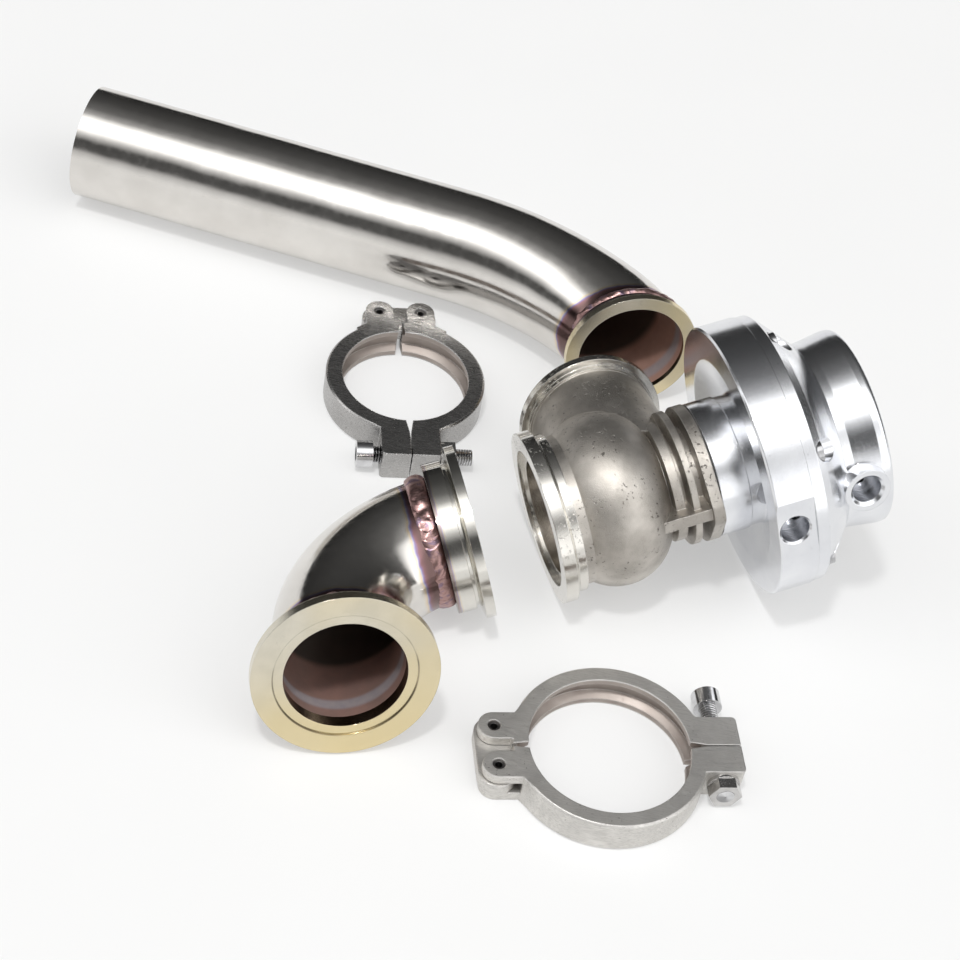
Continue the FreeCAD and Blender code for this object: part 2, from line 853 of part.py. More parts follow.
def make_cap():
    body = new_body("cap")
    split = S.split_station
    rim_top = split + S.cap_rim_height
    end_start = S.cap_top - S.cap_end_round * 2
    fall = S.cap_rim_radius - S.waist_radius
    rise = S.dome_top_station - rim_top
    dome = [
        (S.cap_rim_radius - fall * inward, rim_top + rise * upward)
        for inward, upward in DOME_PROFILE
    ]
    revolve(body, [
        (0, split),
        (S.cap_rim_radius, split),
        (S.cap_rim_radius, rim_top),
        *dome,
        (S.waist_radius, S.dome_top_station),
        (S.waist_radius, S.dome_top_station + rise * DOME_LAND),
        (S.cap_end_radius, end_start),
        (S.cap_end_radius, S.cap_top),
        (0, S.cap_top),
    ])
    soften(body, "Fillet", S.cap_end_round, circle_at(S.cap_end_radius, S.cap_top))

    # boost boss on the side of the port flat
    boss = new_sketch(body, "YZ_Plane", -S.boss_reach)
    draw_circle(boss, S.boss_radius, 0, S.boss_station)
    pad(body, boss, S.boss_reach - S.waist_radius * BOSS_ROOT)

    inside = S.waist_radius - S.cap_wall
    revolve(body, [
        (0, split),
        (S.cap_mouth_radius, split),
        (inside, S.dome_top_station - S.cap_wall),
        (inside, S.cap_top - S.cap_wall),
        (0, S.cap_top - S.cap_wall),
    ], cut=True)
    for radius, depth in (
        (S.port_radius, S.port_depth),
        (S.port_passage_radius, S.boss_reach - inside * BOSS_ROOT),
    ):
        port = new_sketch(body, "YZ_Plane", -S.boss_reach)
        draw_circle(port, radius, 0, S.boss_station)
        pocket(body, port, depth, backward=True)
    mouth = (-S.boss_reach, S.boss_station)
    soften(body, "Chamfer", S.boss_bevel, port_mouth(S.port_radius, *mouth))

    # screw holes, counterbored down from the dome
    angle = S.cap_screw_start_angle
    place = (S.cap_screw_circle * cosine(angle), S.cap_screw_circle * sine(angle))
    through = new_sketch(body, "XY_Plane", split)
    draw_circle(through, S.cap_screw_radius + S.screw_hole_clearance, *place)
    hole = pocket(body, through, S.cap_screw_seat * 2, backward=True)
    sunk = new_sketch(body, "XY_Plane", S.dome_top_station)
    draw_circle(sunk, S.cap_screw_head_radius + S.head_clearance, *place)
    counterbore = pocket(body, sunk, S.dome_top_station - split - S.cap_screw_seat)
    ring_pattern(body, [hole, counterbore], CAP_SCREW_COUNT)


# a cap screw's key socket: across flats per shank radius, depth per head height
SOCKET_ACROSS, SOCKET_DEEP = 1.6, 0.6


def make_screw_ring(label, place, seat, count, radius, length, head_radius, head_height):
    """Socket head screws standing in a ring, each a solid of its own."""
    body = new_body(label)
    head = new_sketch(body, "XY_Plane", seat)
    draw_circle(head, head_radius, *place)
    pad(body, head, head_height)
    shank = new_sketch(body, "XY_Plane", seat)
    draw_circle(shank, radius, *place)
    pad(body, shank, length, backward=True)
    socket = new_sketch(body, "XY_Plane", seat + head_height)
    draw_hexagon(socket, radius * SOCKET_ACROSS, *place)
    pocket(body, socket, head_height * SOCKET_DEEP)
    pattern = ring_pattern(body, [], count)
    pattern.TransformMode = "Whole shape"
    return body


def make_fasteners():
    angle = S.cap_screw_start_angle
    make_screw_ring(
        "cap_screws",
        (S.cap_screw_circle * cosine(angle), S.cap_screw_circle * sine(angle)),
        S.split_station + S.cap_screw_seat,
        CAP_SCREW_COUNT,
        S.cap_screw_radius,
        S.cap_screw_length,
        S.cap_screw_head_radius,
        S.cap_screw_head_height,
    )
    across = S.body_screw_circle * DIAGONAL
    make_screw_ring(
        "body_screws",
        (across, across),
        S.chamber_floor - S.body_screw_head_height - S.head_clearance,
        BODY_SCREW_COUNT,
        S.cap_screw_radius,
        S.body_screw_length,
        S.body_screw_head_radius,
        S.body_screw_head_height,
    )


def make_stem_seal():
    body = new_body("stem_seal")
    retainer = S.head_clearance * 4
    top = S.chamber_floor - retainer
    inner = S.stem_radius + S.running_gap
    revolve(body, tube_of(inner, S.stem_seal_radius, top - S.stem_seal_height, top))
    washer = new_body("seal_retainer")
    inner = S.stem_radius + S.head_clearance
    revolve(washer, tube_of(inner, S.stem_seal_radius, top, S.chamber_floor))


def make_diaphragm_stack():
    plate = new_body("lower_plate")
    low = stack_station("lower_plate")
    revolve(plate, tube_of(
        S.stem_thread_radius, S.plate_radius, low, low + S.plate_thickness
    ))

    diaphragm = new_body("diaphragm")
    low = stack_station("diaphragm")
    high = low + S.diaphragm_thickness
    bead_low = S.split_station - S.bead_depth
    flat = S.plate_radius + S.diaphragm_thickness
    revolve(diaphragm, [
        (S.stem_thread_radius, low),
        (flat + S.diaphragm_thickness / 2, low),
        (S.chamber_radius, bead_low),
        (S.bead_radius, bead_low),
        (S.bead_radius, S.split_station),
        (S.cap_mouth_radius + S.running_gap, S.split_station),
        (flat, high),
        (S.stem_thread_radius, high),
    ])

    cup = new_body("spring_cup")
    low = stack_station("spring_cup")
    floor = low + S.plate_thickness
    wall = S.plate_radius - S.cup_rim_wall
    revolve(cup, [
        (S.stem_thread_radius, low),
        (S.plate_radius, low),
        (S.plate_radius, floor + S.cup_rim_height),
        (wall, floor + S.cup_rim_height),
        (wall, floor),
        (S.stem_thread_radius, floor),
    ])

    nut = new_body("stem_nut")
    hexagon = new_sketch(nut, "XY_Plane", stack_station("stem_nut"))
    draw_hexagon(hexagon, S.nut_width)
    draw_circle(hexagon, S.stem_thread_radius)
    pad(nut, hexagon, S.nut_height)


def make_spring(label, mean_radius, wire, turns):
    """A coil of straight six-sided lengths between the cup and the cap's ceiling."""
    steps = 12
    low = stack_station("stem_nut").value + wire / 2
    high = S.cap_top.value - S.cap_wall.value - wire / 2
    count = round(turns * steps)
    points = []
    for number in range(count + 1):
        angle = 2 * math.pi * number / steps
        height = low + (high - low) * number / count
        points.append(Vector(mean_radius * math.cos(angle), mean_radius * math.sin(angle), height))
    along = (points[1] - points[0]).normalize()
    out = Vector(1, 0, 0)
    over = along.cross(out).normalize()
    section = []
    for number in range(7):
        angle = math.pi * number / 3
        section.append(
            points[0] + out * (wire / 2 * math.cos(angle)) + over * (wire / 2 * math.sin(angle))
        )
    path = Part.makePolygon(points)
    square_corners = 1
    coil = path.makePipeShell([Part.makePolygon(section)], True, False, square_corners)
    spring = doc.addObject("Part::Feature", label)
    spring.Label = label
    spring.Shape = coil
    pieces.append(spring)


def make_port_plug():
    """A socket plug for the collar's small test port, drawn along +X."""
    plug = new_body("port_plug")
    top = S.collar_radius - S.head_clearance
    face = new_sketch(plug, "YZ_Plane", top - S.plug_length)
    draw_circle(face, S.plug_radius, 0, S.plug_station)
    pad(plug, face, S.plug_length)
    socket = new_sketch(plug, "YZ_Plane", top)
    draw_hexagon(socket, S.plug_radius, 0, S.plug_station)
    pocket(plug, socket, S.plug_length / 2)


# ---------------------------------------------------------------- tubes and flanges

def make_flange(label, rim, width, hub, depth, socket_depth, recess=None, groove=None):
    """A weld-on band flange, its face at the origin and its hub along +Z."""
    body = new_body(label)
    outer = flange_outline(rim, width, hub, depth)
    bore = S.tube_radius - S.tube_wall
    socket = depth - socket_depth
    inner = [(S.tube_radius, depth), (S.tube_radius, socket), (bore, socket)]
    if recess is None:
        inner += [(bore, 0)]
    else:
        radius, sunk = recess
        inner += [(bore, sunk), (radius, sunk), (radius, 0)]
    if groove is not None:
        wide, deep = groove
        start = width + S.rim_slope
        outer = outer[:2] + [
            (hub - deep, start),
            (hub - deep, start + wide),
            (hub, start + wide),
            (hub, depth),
        ]
    revolve(body, outer + inner)
    return body


# a weld bead's section: heights per weld height, and distances back per weld width
WELD_SHOULDER = 0.6
WELD_CROWN = 0.25
WELD_BACK, WELD_BACK_AT = 0.9, 0.6
WELD_TOE, WELD_TOE_AT = 0.3, 0.92


def make_weld(label, depth, width, overcut=0):
    """A weld bead between a flange's hub and the tube, just behind the hub.

    An overcut lets the bead's inside be carved to a tube that is already bending."""
    body = new_body(label)
    tube, height = S.tube_radius, S.weld_height
    crown = [
        (tube + height * WELD_SHOULDER, depth),
        (tube + height, depth + width * WELD_CROWN),
        (tube + height * WELD_BACK, depth + width * WELD_BACK_AT),
        (tube + height * WELD_TOE, depth + width * WELD_TOE_AT),
        (tube, depth + width),
    ]
    root = [(tube - overcut, depth)]
    if overcut:
        crown.append((tube - overcut, depth + width))
    revolve(body, root + crown)
    return body


def carve_bend(body, straight, bend):
    """Cut a flange or weld to the tube's bend that begins this far behind its face."""
    drawing = new_sketch(body, "XY_Plane", straight)
    draw_circle(drawing, S.tube_radius + S.socket_gap)
    centre = -bend
    axis = drawing.addGeometry(Part.LineSegment(
        Vector(-1, centre.value, 0), Vector(1, centre.value, 0)
    ), True)
    fix_point(drawing, axis, 1, -1, centre)
    fix_point(drawing, axis, 2, 1, centre)
    feature = feature_of(body, "Groove", drawing)
    feature.ReferenceAxis = (drawing, ["Axis0"])
    feature.Angle = 60


def sweep_tube(label, path):
    """A tube of the shared section along a path drawn in the XY plane from +X inward."""
    body = new_body(label)
    route = new_sketch(body, "XY_Plane")
    draw_path(route, path, closed=False)
    start = size(path[0][0])
    ring = new_sketch(body, "YZ_Plane", start)
    draw_circle(ring, S.tube_radius)
    draw_circle(ring, S.tube_radius - S.tube_wall)
    doc.recompute()
    feature = feature_of(body, "AdditivePipe", ring)
    feature.Spine = route
    return body


def make_elbow():
    bend = S.elbow_bend_radius
    large_end = S.large_leg - S.large_flange_depth + S.socket_depth
    small_end = S.small_leg - S.small_flange_depth + S.socket_depth
    sweep_tube("elbow_tube", [
        (large_end, 0),
        (bend, 0),
        Arc((bend, bend), y=bend, side=-1, left=False),
        (0, small_end),
    ])
    make_flange(
        "elbow_large_flange",
        S.large_rim_radius,
        S.large_rim_width,
        S.large_hub_radius,
        S.large_flange_depth,
        S.socket_depth,
        recess=(S.large_recess_radius, S.large_recess_depth),
    )
    make_weld("elbow_large_weld", S.large_flange_depth, S.elbow_weld_width)
    flange = make_flange(
        "elbow_small_flange",
        S.small_rim_radius,
        S.small_rim_width,
        S.small_hub_radius,
        S.small_flange_depth,
        S.socket_depth,
        groove=(S.small_groove_width, S.small_groove_depth),
    )
    weld = make_weld(
        "elbow_small_weld", S.small_flange_depth, S.elbow_weld_width, S.weld_overcut
    )
    for body in (flange, weld):
        carve_bend(body, S.small_leg - bend, bend)


def dump_bends():
    """Centres and ends of the dump tube's wide bend and of the short one after it."""
    first, last = S.dump_wide_angle, S.dump_bend_angle
    wide, short = S.dump_wide_radius, S.dump_short_radius
    centre = (S.dump_straight, -wide)
    middle = (S.dump_straight + wide * sine(first), wide * cosine(first) - wide)
    short_centre = (middle[0] - short * sine(first), middle[1] - short * cosine(first))
    end = (short_centre[0] + short * sine(last), short_centre[1] + short * cosine(last))
    return centre, middle, short_centre, end


def dump_face():
    """Centre of the dump tube's flange face."""
    end = dump_bends()[-1]
    angle, run = S.dump_bend_angle, S.dump_end
    return (end[0] + run * cosine(angle), end[1] - run * sine(angle))


def make_dump_tube():
    angle = S.dump_bend_angle
    centre, middle, short_centre, end = dump_bends()
    run = S.dump_end - S.dump_flange_depth + S.dump_socket_depth
    sweep_tube("dump_tube", [
        (size(0), 0),
        (S.dump_straight, 0),
        Arc(centre, x=middle[0], side=1, left=False),
        Arc(short_centre, x=end[0], side=1, left=False),
        (end[0] + run * cosine(angle), end[1] - run * sine(angle)),
    ])
    flange = make_flange(
        "dump_flange",
        S.dump_rim_radius,
        S.dump_rim_width,
        S.dump_hub_radius,
        S.dump_flange_depth,
        S.dump_socket_depth,
    )
    weld = make_weld("dump_weld", S.dump_flange_depth, S.dump_weld_width, S.weld_overcut)
    for body in (flange, weld):
        carve_bend(body, S.dump_end, S.dump_short_radius)


# ---------------------------------------------------------------- band clamps

# where an ear or knuckle begins and ends its flare into the ring, per ring radius
FLARE_START = 0.93
FLARE_END = 0.84


class ClampSizes:
    """Places in a clamp's frame: hinge towards +Y, screw across the ears towards -Y."""

    def __init__(self, name, radius, lip, side, head_ear, stand, inset):
        self.name = name
        self.radius = radius
        self.lip = lip
        self.side = side
        self.head_ear = head_ear
        self.stand = stand
        self.pin_reach = radius + S.pin_offset
        self.ear_end = radius + S.ear_reach
        self.screw_reach = self.ear_end - inset


def make_clamp_half(clamp, label, side, ear_width):
    """One half of a clamp; side is +1 for the half towards +X and -1 for the other."""
    body = new_body(label)
    tall = S.clamp_thickness
    ring = new_sketch(body, "XY_Plane")
    draw_circle(ring, clamp.radius)
    pad(body, ring, tall)
    soften(body, "Chamfer", S.clamp_edge, lambda edge: True)

    ear = new_sketch(body, "XY_Plane")
    outer = ear_width * side
    flare = outer + S.ear_flare * side
    draw_path(ear, [
        (0, 0),
        (0, -clamp.ear_end),
        (outer, -clamp.ear_end),
        (outer, -clamp.radius * FLARE_START),
        (flare, -clamp.radius * FLARE_END),
        (flare, 0),
    ])
    pad(body, ear, tall)
    near_corner = [(outer.value, -clamp.ear_end.value)]
    soften(body, "Fillet", S.ear_round, upright_at(near_corner))

    pin_x = S.pin_spacing / 2 * side
    knuckle = new_sketch(body, "XY_Plane")
    draw_circle(knuckle, S.knuckle_radius, pin_x, clamp.pin_reach)
    pad(body, knuckle, tall)
    web = new_sketch(body, "XY_Plane")
    near = pin_x - S.knuckle_radius * side
    far = pin_x + S.knuckle_radius * side
    flare = far + S.ear_flare * side
    draw_path(web, [
        (near, clamp.pin_reach),
        (far, clamp.pin_reach),
        (far, clamp.radius * FLARE_START),
        (flare, clamp.radius * FLARE_END),
        (flare, clamp.lip),
        (near, clamp.lip),
    ])
    pad(body, web, tall)

    # inner groove with a lip on both sides
    low, high = S.clamp_lip, tall - S.clamp_lip
    deep = clamp.lip + S.clamp_groove_depth
    revolve(body, [
        (0, -1),
        (clamp.lip, -1),
        (clamp.lip, low),
        (deep, low + S.clamp_groove_slope),
        (deep, high - S.clamp_groove_slope),
        (clamp.lip, high),
        (clamp.lip, tall + 1),
        (0, tall + 1),
    ], cut=True)

    # the gap to the other half is wider inside the ring than at its ends
    far = clamp.radius * 2
    inner, end = S.ear_gap_inner * side, S.ear_gap_outer * side
    split = new_sketch(body, "XY_Plane")
    draw_path(split, [
        (end, -far),
        (end, -clamp.radius),
        (inner, -clamp.lip),
        (inner, clamp.lip),
        (end * 2, clamp.radius),
        (end * 2, far),
        (-far * side, far),
        (-far * side, -far),
    ])
    pocket(body, split)

    # slot for the link, and the pin's hole through both cheeks
    slot = new_sketch(body, "XZ_Plane")
    half = S.link_thickness / 2 + S.link_side_gap
    link_floor = clamp.pin_reach - S.link_radius - S.link_end_gap
    draw_box(slot, 0, tall / 2 - half, far * side, tall / 2 + half)
    slot.setExpression(".AttachmentOffset.Base.z", (-far).text)
    pocket(body, slot, far - link_floor, backward=True)
    pin_hole = new_sketch(body, "XY_Plane", tall)
    draw_circle(pin_hole, S.pin_radius, pin_x, clamp.pin_reach)
    pocket(body, pin_hole, tall)

    # clearance hole for the screw across the ear
    cross = new_sketch(body, "YZ_Plane")
    draw_circle(cross, S.clamp_screw_hole, -clamp.screw_reach, tall / 2)
    pocket(body, cross)
    return body


def make_link(clamp):
    body = new_body(f"{clamp.name}_link")
    half, radius = S.pin_spacing / 2, S.link_radius
    drawing = new_sketch(body, "XY_Plane", S.clamp_thickness / 2)
    centre = clamp.pin_reach
    draw_path(drawing, [
        (-half, centre - radius),
        (half, centre - radius),
        Arc((half, centre), x=half, side=1, left=True),
        (-half, centre + radius),
        Arc((-half, centre), x=-half, side=-1, left=True),
    ])
    for x in (-half, half):
        draw_circle(drawing, S.pin_radius + S.running_gap, x, centre)
    pad(body, drawing, S.link_thickness, midplane=True)


def make_clamp_pin(clamp, label, side):
    body = new_body(label)
    drawing = new_sketch(body, "XY_Plane", S.pin_recess)
    x = S.pin_spacing / 2 * side
    draw_circle(drawing, S.pin_radius, x, clamp.pin_reach)
    draw_circle(drawing, S.pin_bore_radius, x, clamp.pin_reach)
    pad(body, drawing, S.clamp_thickness - S.pin_recess * 2)


def make_clamp_screw(clamp):
    """Screw and nut: the nut bears on one ear, the head stands off the other."""
    side = clamp.side
    reach, mid = -clamp.screw_reach, S.clamp_thickness / 2
    head = -(clamp.head_ear + clamp.stand) * side
    nut = S.ear_width * side
    toward_nut = side < 0

    screw = new_body(f"{clamp.name}_screw")
    shank = new_sketch(screw, "YZ_Plane", head)
    draw_circle(shank, S.clamp_screw_radius, reach, mid)
    pad(screw, shank, S.clamp_screw_length, backward=toward_nut)
    knob = new_sketch(screw, "YZ_Plane", head)
    draw_circle(knob, S.clamp_screw_head_radius, reach, mid)
    pad(screw, knob, S.clamp_screw_head_height, backward=not toward_nut)
    socket = new_sketch(screw, "YZ_Plane", head - S.clamp_screw_head_height * side)
    draw_hexagon(socket, S.clamp_screw_head_radius, reach, mid)
    pocket(screw, socket, S.clamp_screw_head_height / 2, backward=not toward_nut)

    body = new_body(f"{clamp.name}_nut")
    collar = new_sketch(body, "YZ_Plane", nut)
    draw_circle(collar, S.clamp_nut_collar_radius, reach, mid)
    draw_circle(collar, S.clamp_screw_radius, reach, mid)
    pad(body, collar, S.clamp_nut_collar, backward=toward_nut)
    hexagon = new_sketch(body, "YZ_Plane", nut + S.clamp_nut_collar * side)
    draw_hexagon(hexagon, S.clamp_nut_width, reach, mid)
    draw_circle(hexagon, S.clamp_screw_radius, reach, mid)
    pad(body, hexagon, S.clamp_nut_height, backward=toward_nut)


def make_clamp(clamp):
    make_clamp_half(clamp, f"{clamp.name}_nut_half", clamp.side, S.ear_width)
    make_clamp_half(clamp, f"{clamp.name}_head_half", -clamp.side, clamp.head_ear)
    make_link(clamp)
    make_clamp_pin(clamp, f"{clamp.name}_nut_pin", clamp.side)
    make_clamp_pin(clamp, f"{clamp.name}_head_pin", -clamp.side)
    make_clamp_screw(clamp)


# ---------------------------------------------------------------- build every piece

outlet_clamp = ClampSizes(
    "outlet_clamp",
    S.outlet_clamp_radius,
    S.outlet_clamp_lip_radius,
    side=1,
    head_ear=S.ear_width,
    stand=S.outlet_screw_stand,
    inset=S.outlet_screw_inset,
)
inlet_clamp = ClampSizes(
    "inlet_clamp",
    S.inlet_clamp_radius,
    S.inlet_clamp_lip_radius,
    side=-1,
    head_ear=S.inlet_head_ear_width,
    stand=S.inlet_screw_stand,
    inset=S.inlet_screw_inset,
)

make_valve_body()
make_valve_seat()
make_guide_bush()
make_valve()
make_gasket()
make_actuator_base()
make_stem_seal()
make_diaphragm_stack()
make_cap()
make_fasteners()
make_port_plug()
make_spring(
    "outer_spring", S.outer_spring_radius.value, S.outer_spring_wire.value, S.outer_spring_turns.value
)
make_spring(
    "inner_spring", S.inner_spring_radius.value, S.inner_spring_wire.value, S.inner_spring_turns.value
)
make_elbow()
make_dump_tube()
make_clamp(outlet_clamp)
make_clamp(inlet_clamp)
doc.recompute()

# ---------------------------------------------------------------- how each item lies

def frame_of(origin, z_axis, x_axis):
    """The placement whose local X and Z point along the two given directions."""
    y_axis = z_axis.cross(x_axis)
    return Placement(origin, Rotation(x_axis, y_axis, z_axis, "ZXY"))


def flat_direction(yaw):
    return Vector(math.cos(math.radians(yaw)), math.sin(math.radians(yaw)), 0)


def valve_frame():
    """The valve rests on its inlet rim, its collar and, rolled over, its outlet rim."""
    collar_station = (S.collar_bottom + S.collar_edge).value
    slope = (S.collar_radius.value - S.inlet_rim_radius.value) / collar_station
    tilt = math.atan(slope)
    yaw = S.valve_yaw.value
    along = flat_direction(yaw) * math.cos(tilt) + Vector(0, 0, math.sin(tilt))
    level = flat_direction(yaw + 90)
    upward = along.cross(level)
    centre_height = S.inlet_rim_radius.value * math.cos(tilt)
    outlet_height = centre_height + S.outlet_station.value * math.sin(tilt)
    reach, rim = S.outlet_reach.value, S.outlet_rim_radius.value
    square = reach**2 + rim**2
    droop = (rim * math.sqrt(square - outlet_height**2) - reach * outlet_height) / square
    roll = math.asin(droop / math.cos(tilt))
    out = level * math.cos(roll) + upward * math.sin(roll)
    origin = Vector(S.valve_across.value, S.valve_away.value, centre_height)
    return frame_of(origin, along, out)


def solve_elbow():
    """Corner height and leg slopes at which both rims and the bend's back touch down.

    The legs rise towards their flanges, so each rim touches with its back edge."""
    large = (S.large_leg - S.large_rim_width).value
    small = (S.small_leg - S.small_rim_width).value
    large_rim, small_rim = S.large_rim_radius.value, S.small_rim_radius.value
    bend, tube = S.elbow_bend_radius.value, S.tube_radius.value
    height, first, second = tube, 0.2, 0.2
    for _ in range(60):
        first = (large_rim * math.sqrt(1 - first**2) - height) / large
        second = (small_rim * math.sqrt(1 - second**2) - height) / small
        back = bend * (first + second) - bend * math.hypot(first, second)
        height = tube - back
    return height, first, second


def elbow_frame():
    height, first, second = solve_elbow()
    flat = math.sqrt((1 - first**2) * (1 - second**2))
    turn = math.degrees(math.acos(-first * second / flat))
    yaw = S.elbow_yaw.value
    large = flat_direction(yaw) * math.sqrt(1 - first**2) + Vector(0, 0, first)
    small = flat_direction(yaw + turn) * math.sqrt(1 - second**2) + Vector(0, 0, second)
    origin = Vector(S.elbow_across.value, S.elbow_away.value, height)
    return frame_of(origin, large.cross(small), large)


def dump_frame():
    """The tube lies on its straight side and turns until the flange's rim touches.

    The flange's face then looks slightly upward, so the rim touches with its back edge."""
    tube, rim = S.tube_radius.value, S.dump_rim_radius.value
    face_share = sine(S.dump_bend_angle).value
    offset = -dump_face()[1].value - S.dump_rim_width.value * face_share
    lift = 0.0
    for _ in range(60):
        lift = (rim * math.sqrt(1 - (face_share * lift) ** 2) - tube) / offset
    along = flat_direction(S.dump_yaw.value)
    side = flat_direction(S.dump_yaw.value + 90) * math.sqrt(1 - lift**2) - Vector(0, 0, lift)
    origin = Vector(S.dump_across.value, S.dump_away.value, tube)
    return frame_of(origin, along.cross(side), along)


def flat_frame(across, away, yaw):
    turn = Rotation(Vector(0, 0, 1), yaw.value)
    return Placement(Vector(across.value, away.value, 0), turn)


def flange_frame(face, outward):
    """A flange or weld drawn from its face inward, put at the face of a tube's end."""
    inward = outward * -1
    side = Vector(0, 0, 1)
    return frame_of(face, inward, side)


valve_rest = valve_frame()
elbow_rest = elbow_frame()
dump_rest = dump_frame()
large_end = flange_frame(Vector(S.large_leg.value, 0, 0), Vector(1, 0, 0))
small_end = flange_frame(Vector(0, S.small_leg.value, 0), Vector(0, 1, 0))
dump_angle = math.radians(S.dump_bend_angle.value)
dump_end = flange_frame(
    Vector(dump_face()[0].value, dump_face()[1].value, 0),
    Vector(math.cos(dump_angle), -math.sin(dump_angle), 0),
)
outlet_clamp_rest = flat_frame(
    S.outlet_clamp_across, S.outlet_clamp_away, S.outlet_clamp_yaw
)
inlet_clamp_rest = flat_frame(S.inlet_clamp_across, S.inlet_clamp_away, S.inlet_clamp_yaw)

special = {
    "elbow_tube": elbow_rest,
    "elbow_large_flange": elbow_rest * large_end,
    "elbow_large_weld": elbow_rest * large_end,
    "elbow_small_flange": elbow_rest * small_end,
    "elbow_small_weld": elbow_rest * small_end,
    "dump_tube": dump_rest,
    "dump_flange": dump_rest * dump_end,
    "dump_weld": dump_rest * dump_end,
}


def rest_of(label):
    if label == "port_plug":
        return valve_rest * Placement(Vector(), Rotation(Vector(0, 0, 1), S.plug_angle.value))
    if label in special:
        return special[label]
    if label.startswith("outlet_clamp"):
        return outlet_clamp_rest
    if label.startswith("inlet_clamp"):
        return inlet_clamp_rest
    return valve_rest


for piece in pieces:
    piece.Placement = rest_of(piece.Label)
doc.recompute()

# the origin lies under the middle of the whole layout
box = Part.makeCompound([piece.Shape for piece in pieces]).optimalBoundingBox(False)
centre = Placement(Vector(-box.Center.x, -box.Center.y, 0), Rotation())
for piece in pieces:
    piece.Placement = centre * piece.Placement
doc.recompute()

# ---------------------------------------------------------------- checks and export

failed = [item.Label for item in doc.Objects if {"Invalid", "Error"} & set(item.State)]
if failed:
    raise RuntimeError(f"did not compute: {failed}")
for piece in pieces:
    if piece.Shape.isNull() or not piece.Shape.isValid():
        raise RuntimeError(f"{piece.Label} has no valid shape")

os.makedirs("parts", exist_ok=True)
for piece in pieces:
    piece.Shape.exportStep(os.path.join("parts", f"{piece.Label}.step"))
    print(f"{piece.Label}: {len(piece.Shape.Solids)} solid(s), {piece.Shape.Volume:.1f} mm3")
print(f"extents {box.XLength:.1f} x {box.YLength:.1f} x {box.ZLength:.1f} mm, low {box.ZMin:.4f}")
print(f"layout centre {box.Center.x:.2f}, {box.Center.y:.2f}")
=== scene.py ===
"""A wastegate kit on a white surface: finishes, weld beads, springs, light and camera."""
import collections
import json
import math

import bmesh
import bpy
from mathutils import Matrix, Vector, noise


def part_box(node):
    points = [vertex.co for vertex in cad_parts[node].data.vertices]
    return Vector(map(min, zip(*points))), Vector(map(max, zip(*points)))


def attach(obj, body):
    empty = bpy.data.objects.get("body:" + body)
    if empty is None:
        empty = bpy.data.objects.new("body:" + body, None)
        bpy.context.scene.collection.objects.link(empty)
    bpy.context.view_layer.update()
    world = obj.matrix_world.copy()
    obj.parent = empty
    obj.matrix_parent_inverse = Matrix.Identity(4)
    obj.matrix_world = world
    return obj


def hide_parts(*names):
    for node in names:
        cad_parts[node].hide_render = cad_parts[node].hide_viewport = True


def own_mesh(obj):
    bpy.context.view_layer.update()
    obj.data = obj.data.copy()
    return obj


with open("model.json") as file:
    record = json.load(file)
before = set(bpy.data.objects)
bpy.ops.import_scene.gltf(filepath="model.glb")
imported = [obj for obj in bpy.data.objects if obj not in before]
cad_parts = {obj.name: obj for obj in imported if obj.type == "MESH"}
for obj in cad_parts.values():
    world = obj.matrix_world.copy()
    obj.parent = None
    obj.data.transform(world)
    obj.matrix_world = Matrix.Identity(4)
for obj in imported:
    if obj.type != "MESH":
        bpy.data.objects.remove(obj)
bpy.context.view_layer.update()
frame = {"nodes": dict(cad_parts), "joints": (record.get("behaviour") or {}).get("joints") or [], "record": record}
nodes = frame["nodes"]

MM = 0.001
FULL_TURN = 2 * math.pi


class Mount:
    """A place on the object: a point, the way it faces, and two directions across."""

    def __init__(self, point, axis):
        self.point = Vector(point)
        self.axis = Vector(axis).normalized()
        self.side = self.axis.cross(Vector((0, 0, 1)))
        if self.side.length < 0.01:
            self.side = Vector((1, 0, 0))
        self.side.normalize()
        self.over = self.axis.cross(self.side)

    def back(self, distance):
        """The same axis, from a point this far behind."""
        return Mount(self.point - self.axis * distance, self.axis)


mounts = {
    mount["name"]: Mount(mount["pos_m"], mount["axis"])
    for mount in frame["record"]["mounts"]
}
VALVE_INLET = mounts["valve_inlet_rim"]
VALVE_OUTLET = mounts["valve_outlet_rim"]
BASE_PORT = mounts["base_port"]
CAP_PORT = mounts["cap_port"]
LARGE_RIM = mounts["elbow_large_rim"]
SMALL_RIM = mounts["elbow_small_rim"]
DUMP_RIM = mounts["dump_rim"]
TUBE_END = mounts["dump_tube_end"]
OUTLET_CLAMP = mounts["outlet_clamp_lips"]
INLET_CLAMP = mounts["inlet_clamp_lips"]

TUBE_RADIUS = 22.225 * MM
WALL_MIDDLE = TUBE_RADIUS - 0.8 * MM
ELBOW_BEND = 44.45 * MM
DUMP_STRAIGHT = 153.0 * MM
DUMP_BENDS = ((117.4 * MM, math.radians(34.9)), (34.0 * MM, math.radians(29.1)))
PORT_RADIUS = 5.15 * MM
PORT_PITCH = 0.94 * MM
CLAMP_HALF_WIDTH = 5.6 * MM
OUTLET_GROOVE, INLET_GROOVE = 27.6 * MM, 31.2 * MM
SCREW_RADIUS, SCREW_PITCH = 3.3 * MM, 1.0 * MM

# how far the casting's bright rims reach back from their faces
INLET_TURNED, OUTLET_TURNED = 6.5 * MM, 3.6 * MM
# the large flange's engraved circle and bore, and how far back its face's gold reaches
ENGRAVED_RADIUS = 24.0 * MM
LARGE_BORE = 22.6 * MM
GOLD_DEPTH = 2.2 * MM
# where the two smaller flanges meet their welds, behind the rims
SMALL_HUB, DUMP_HUB = 10.8 * MM, 5.4 * MM

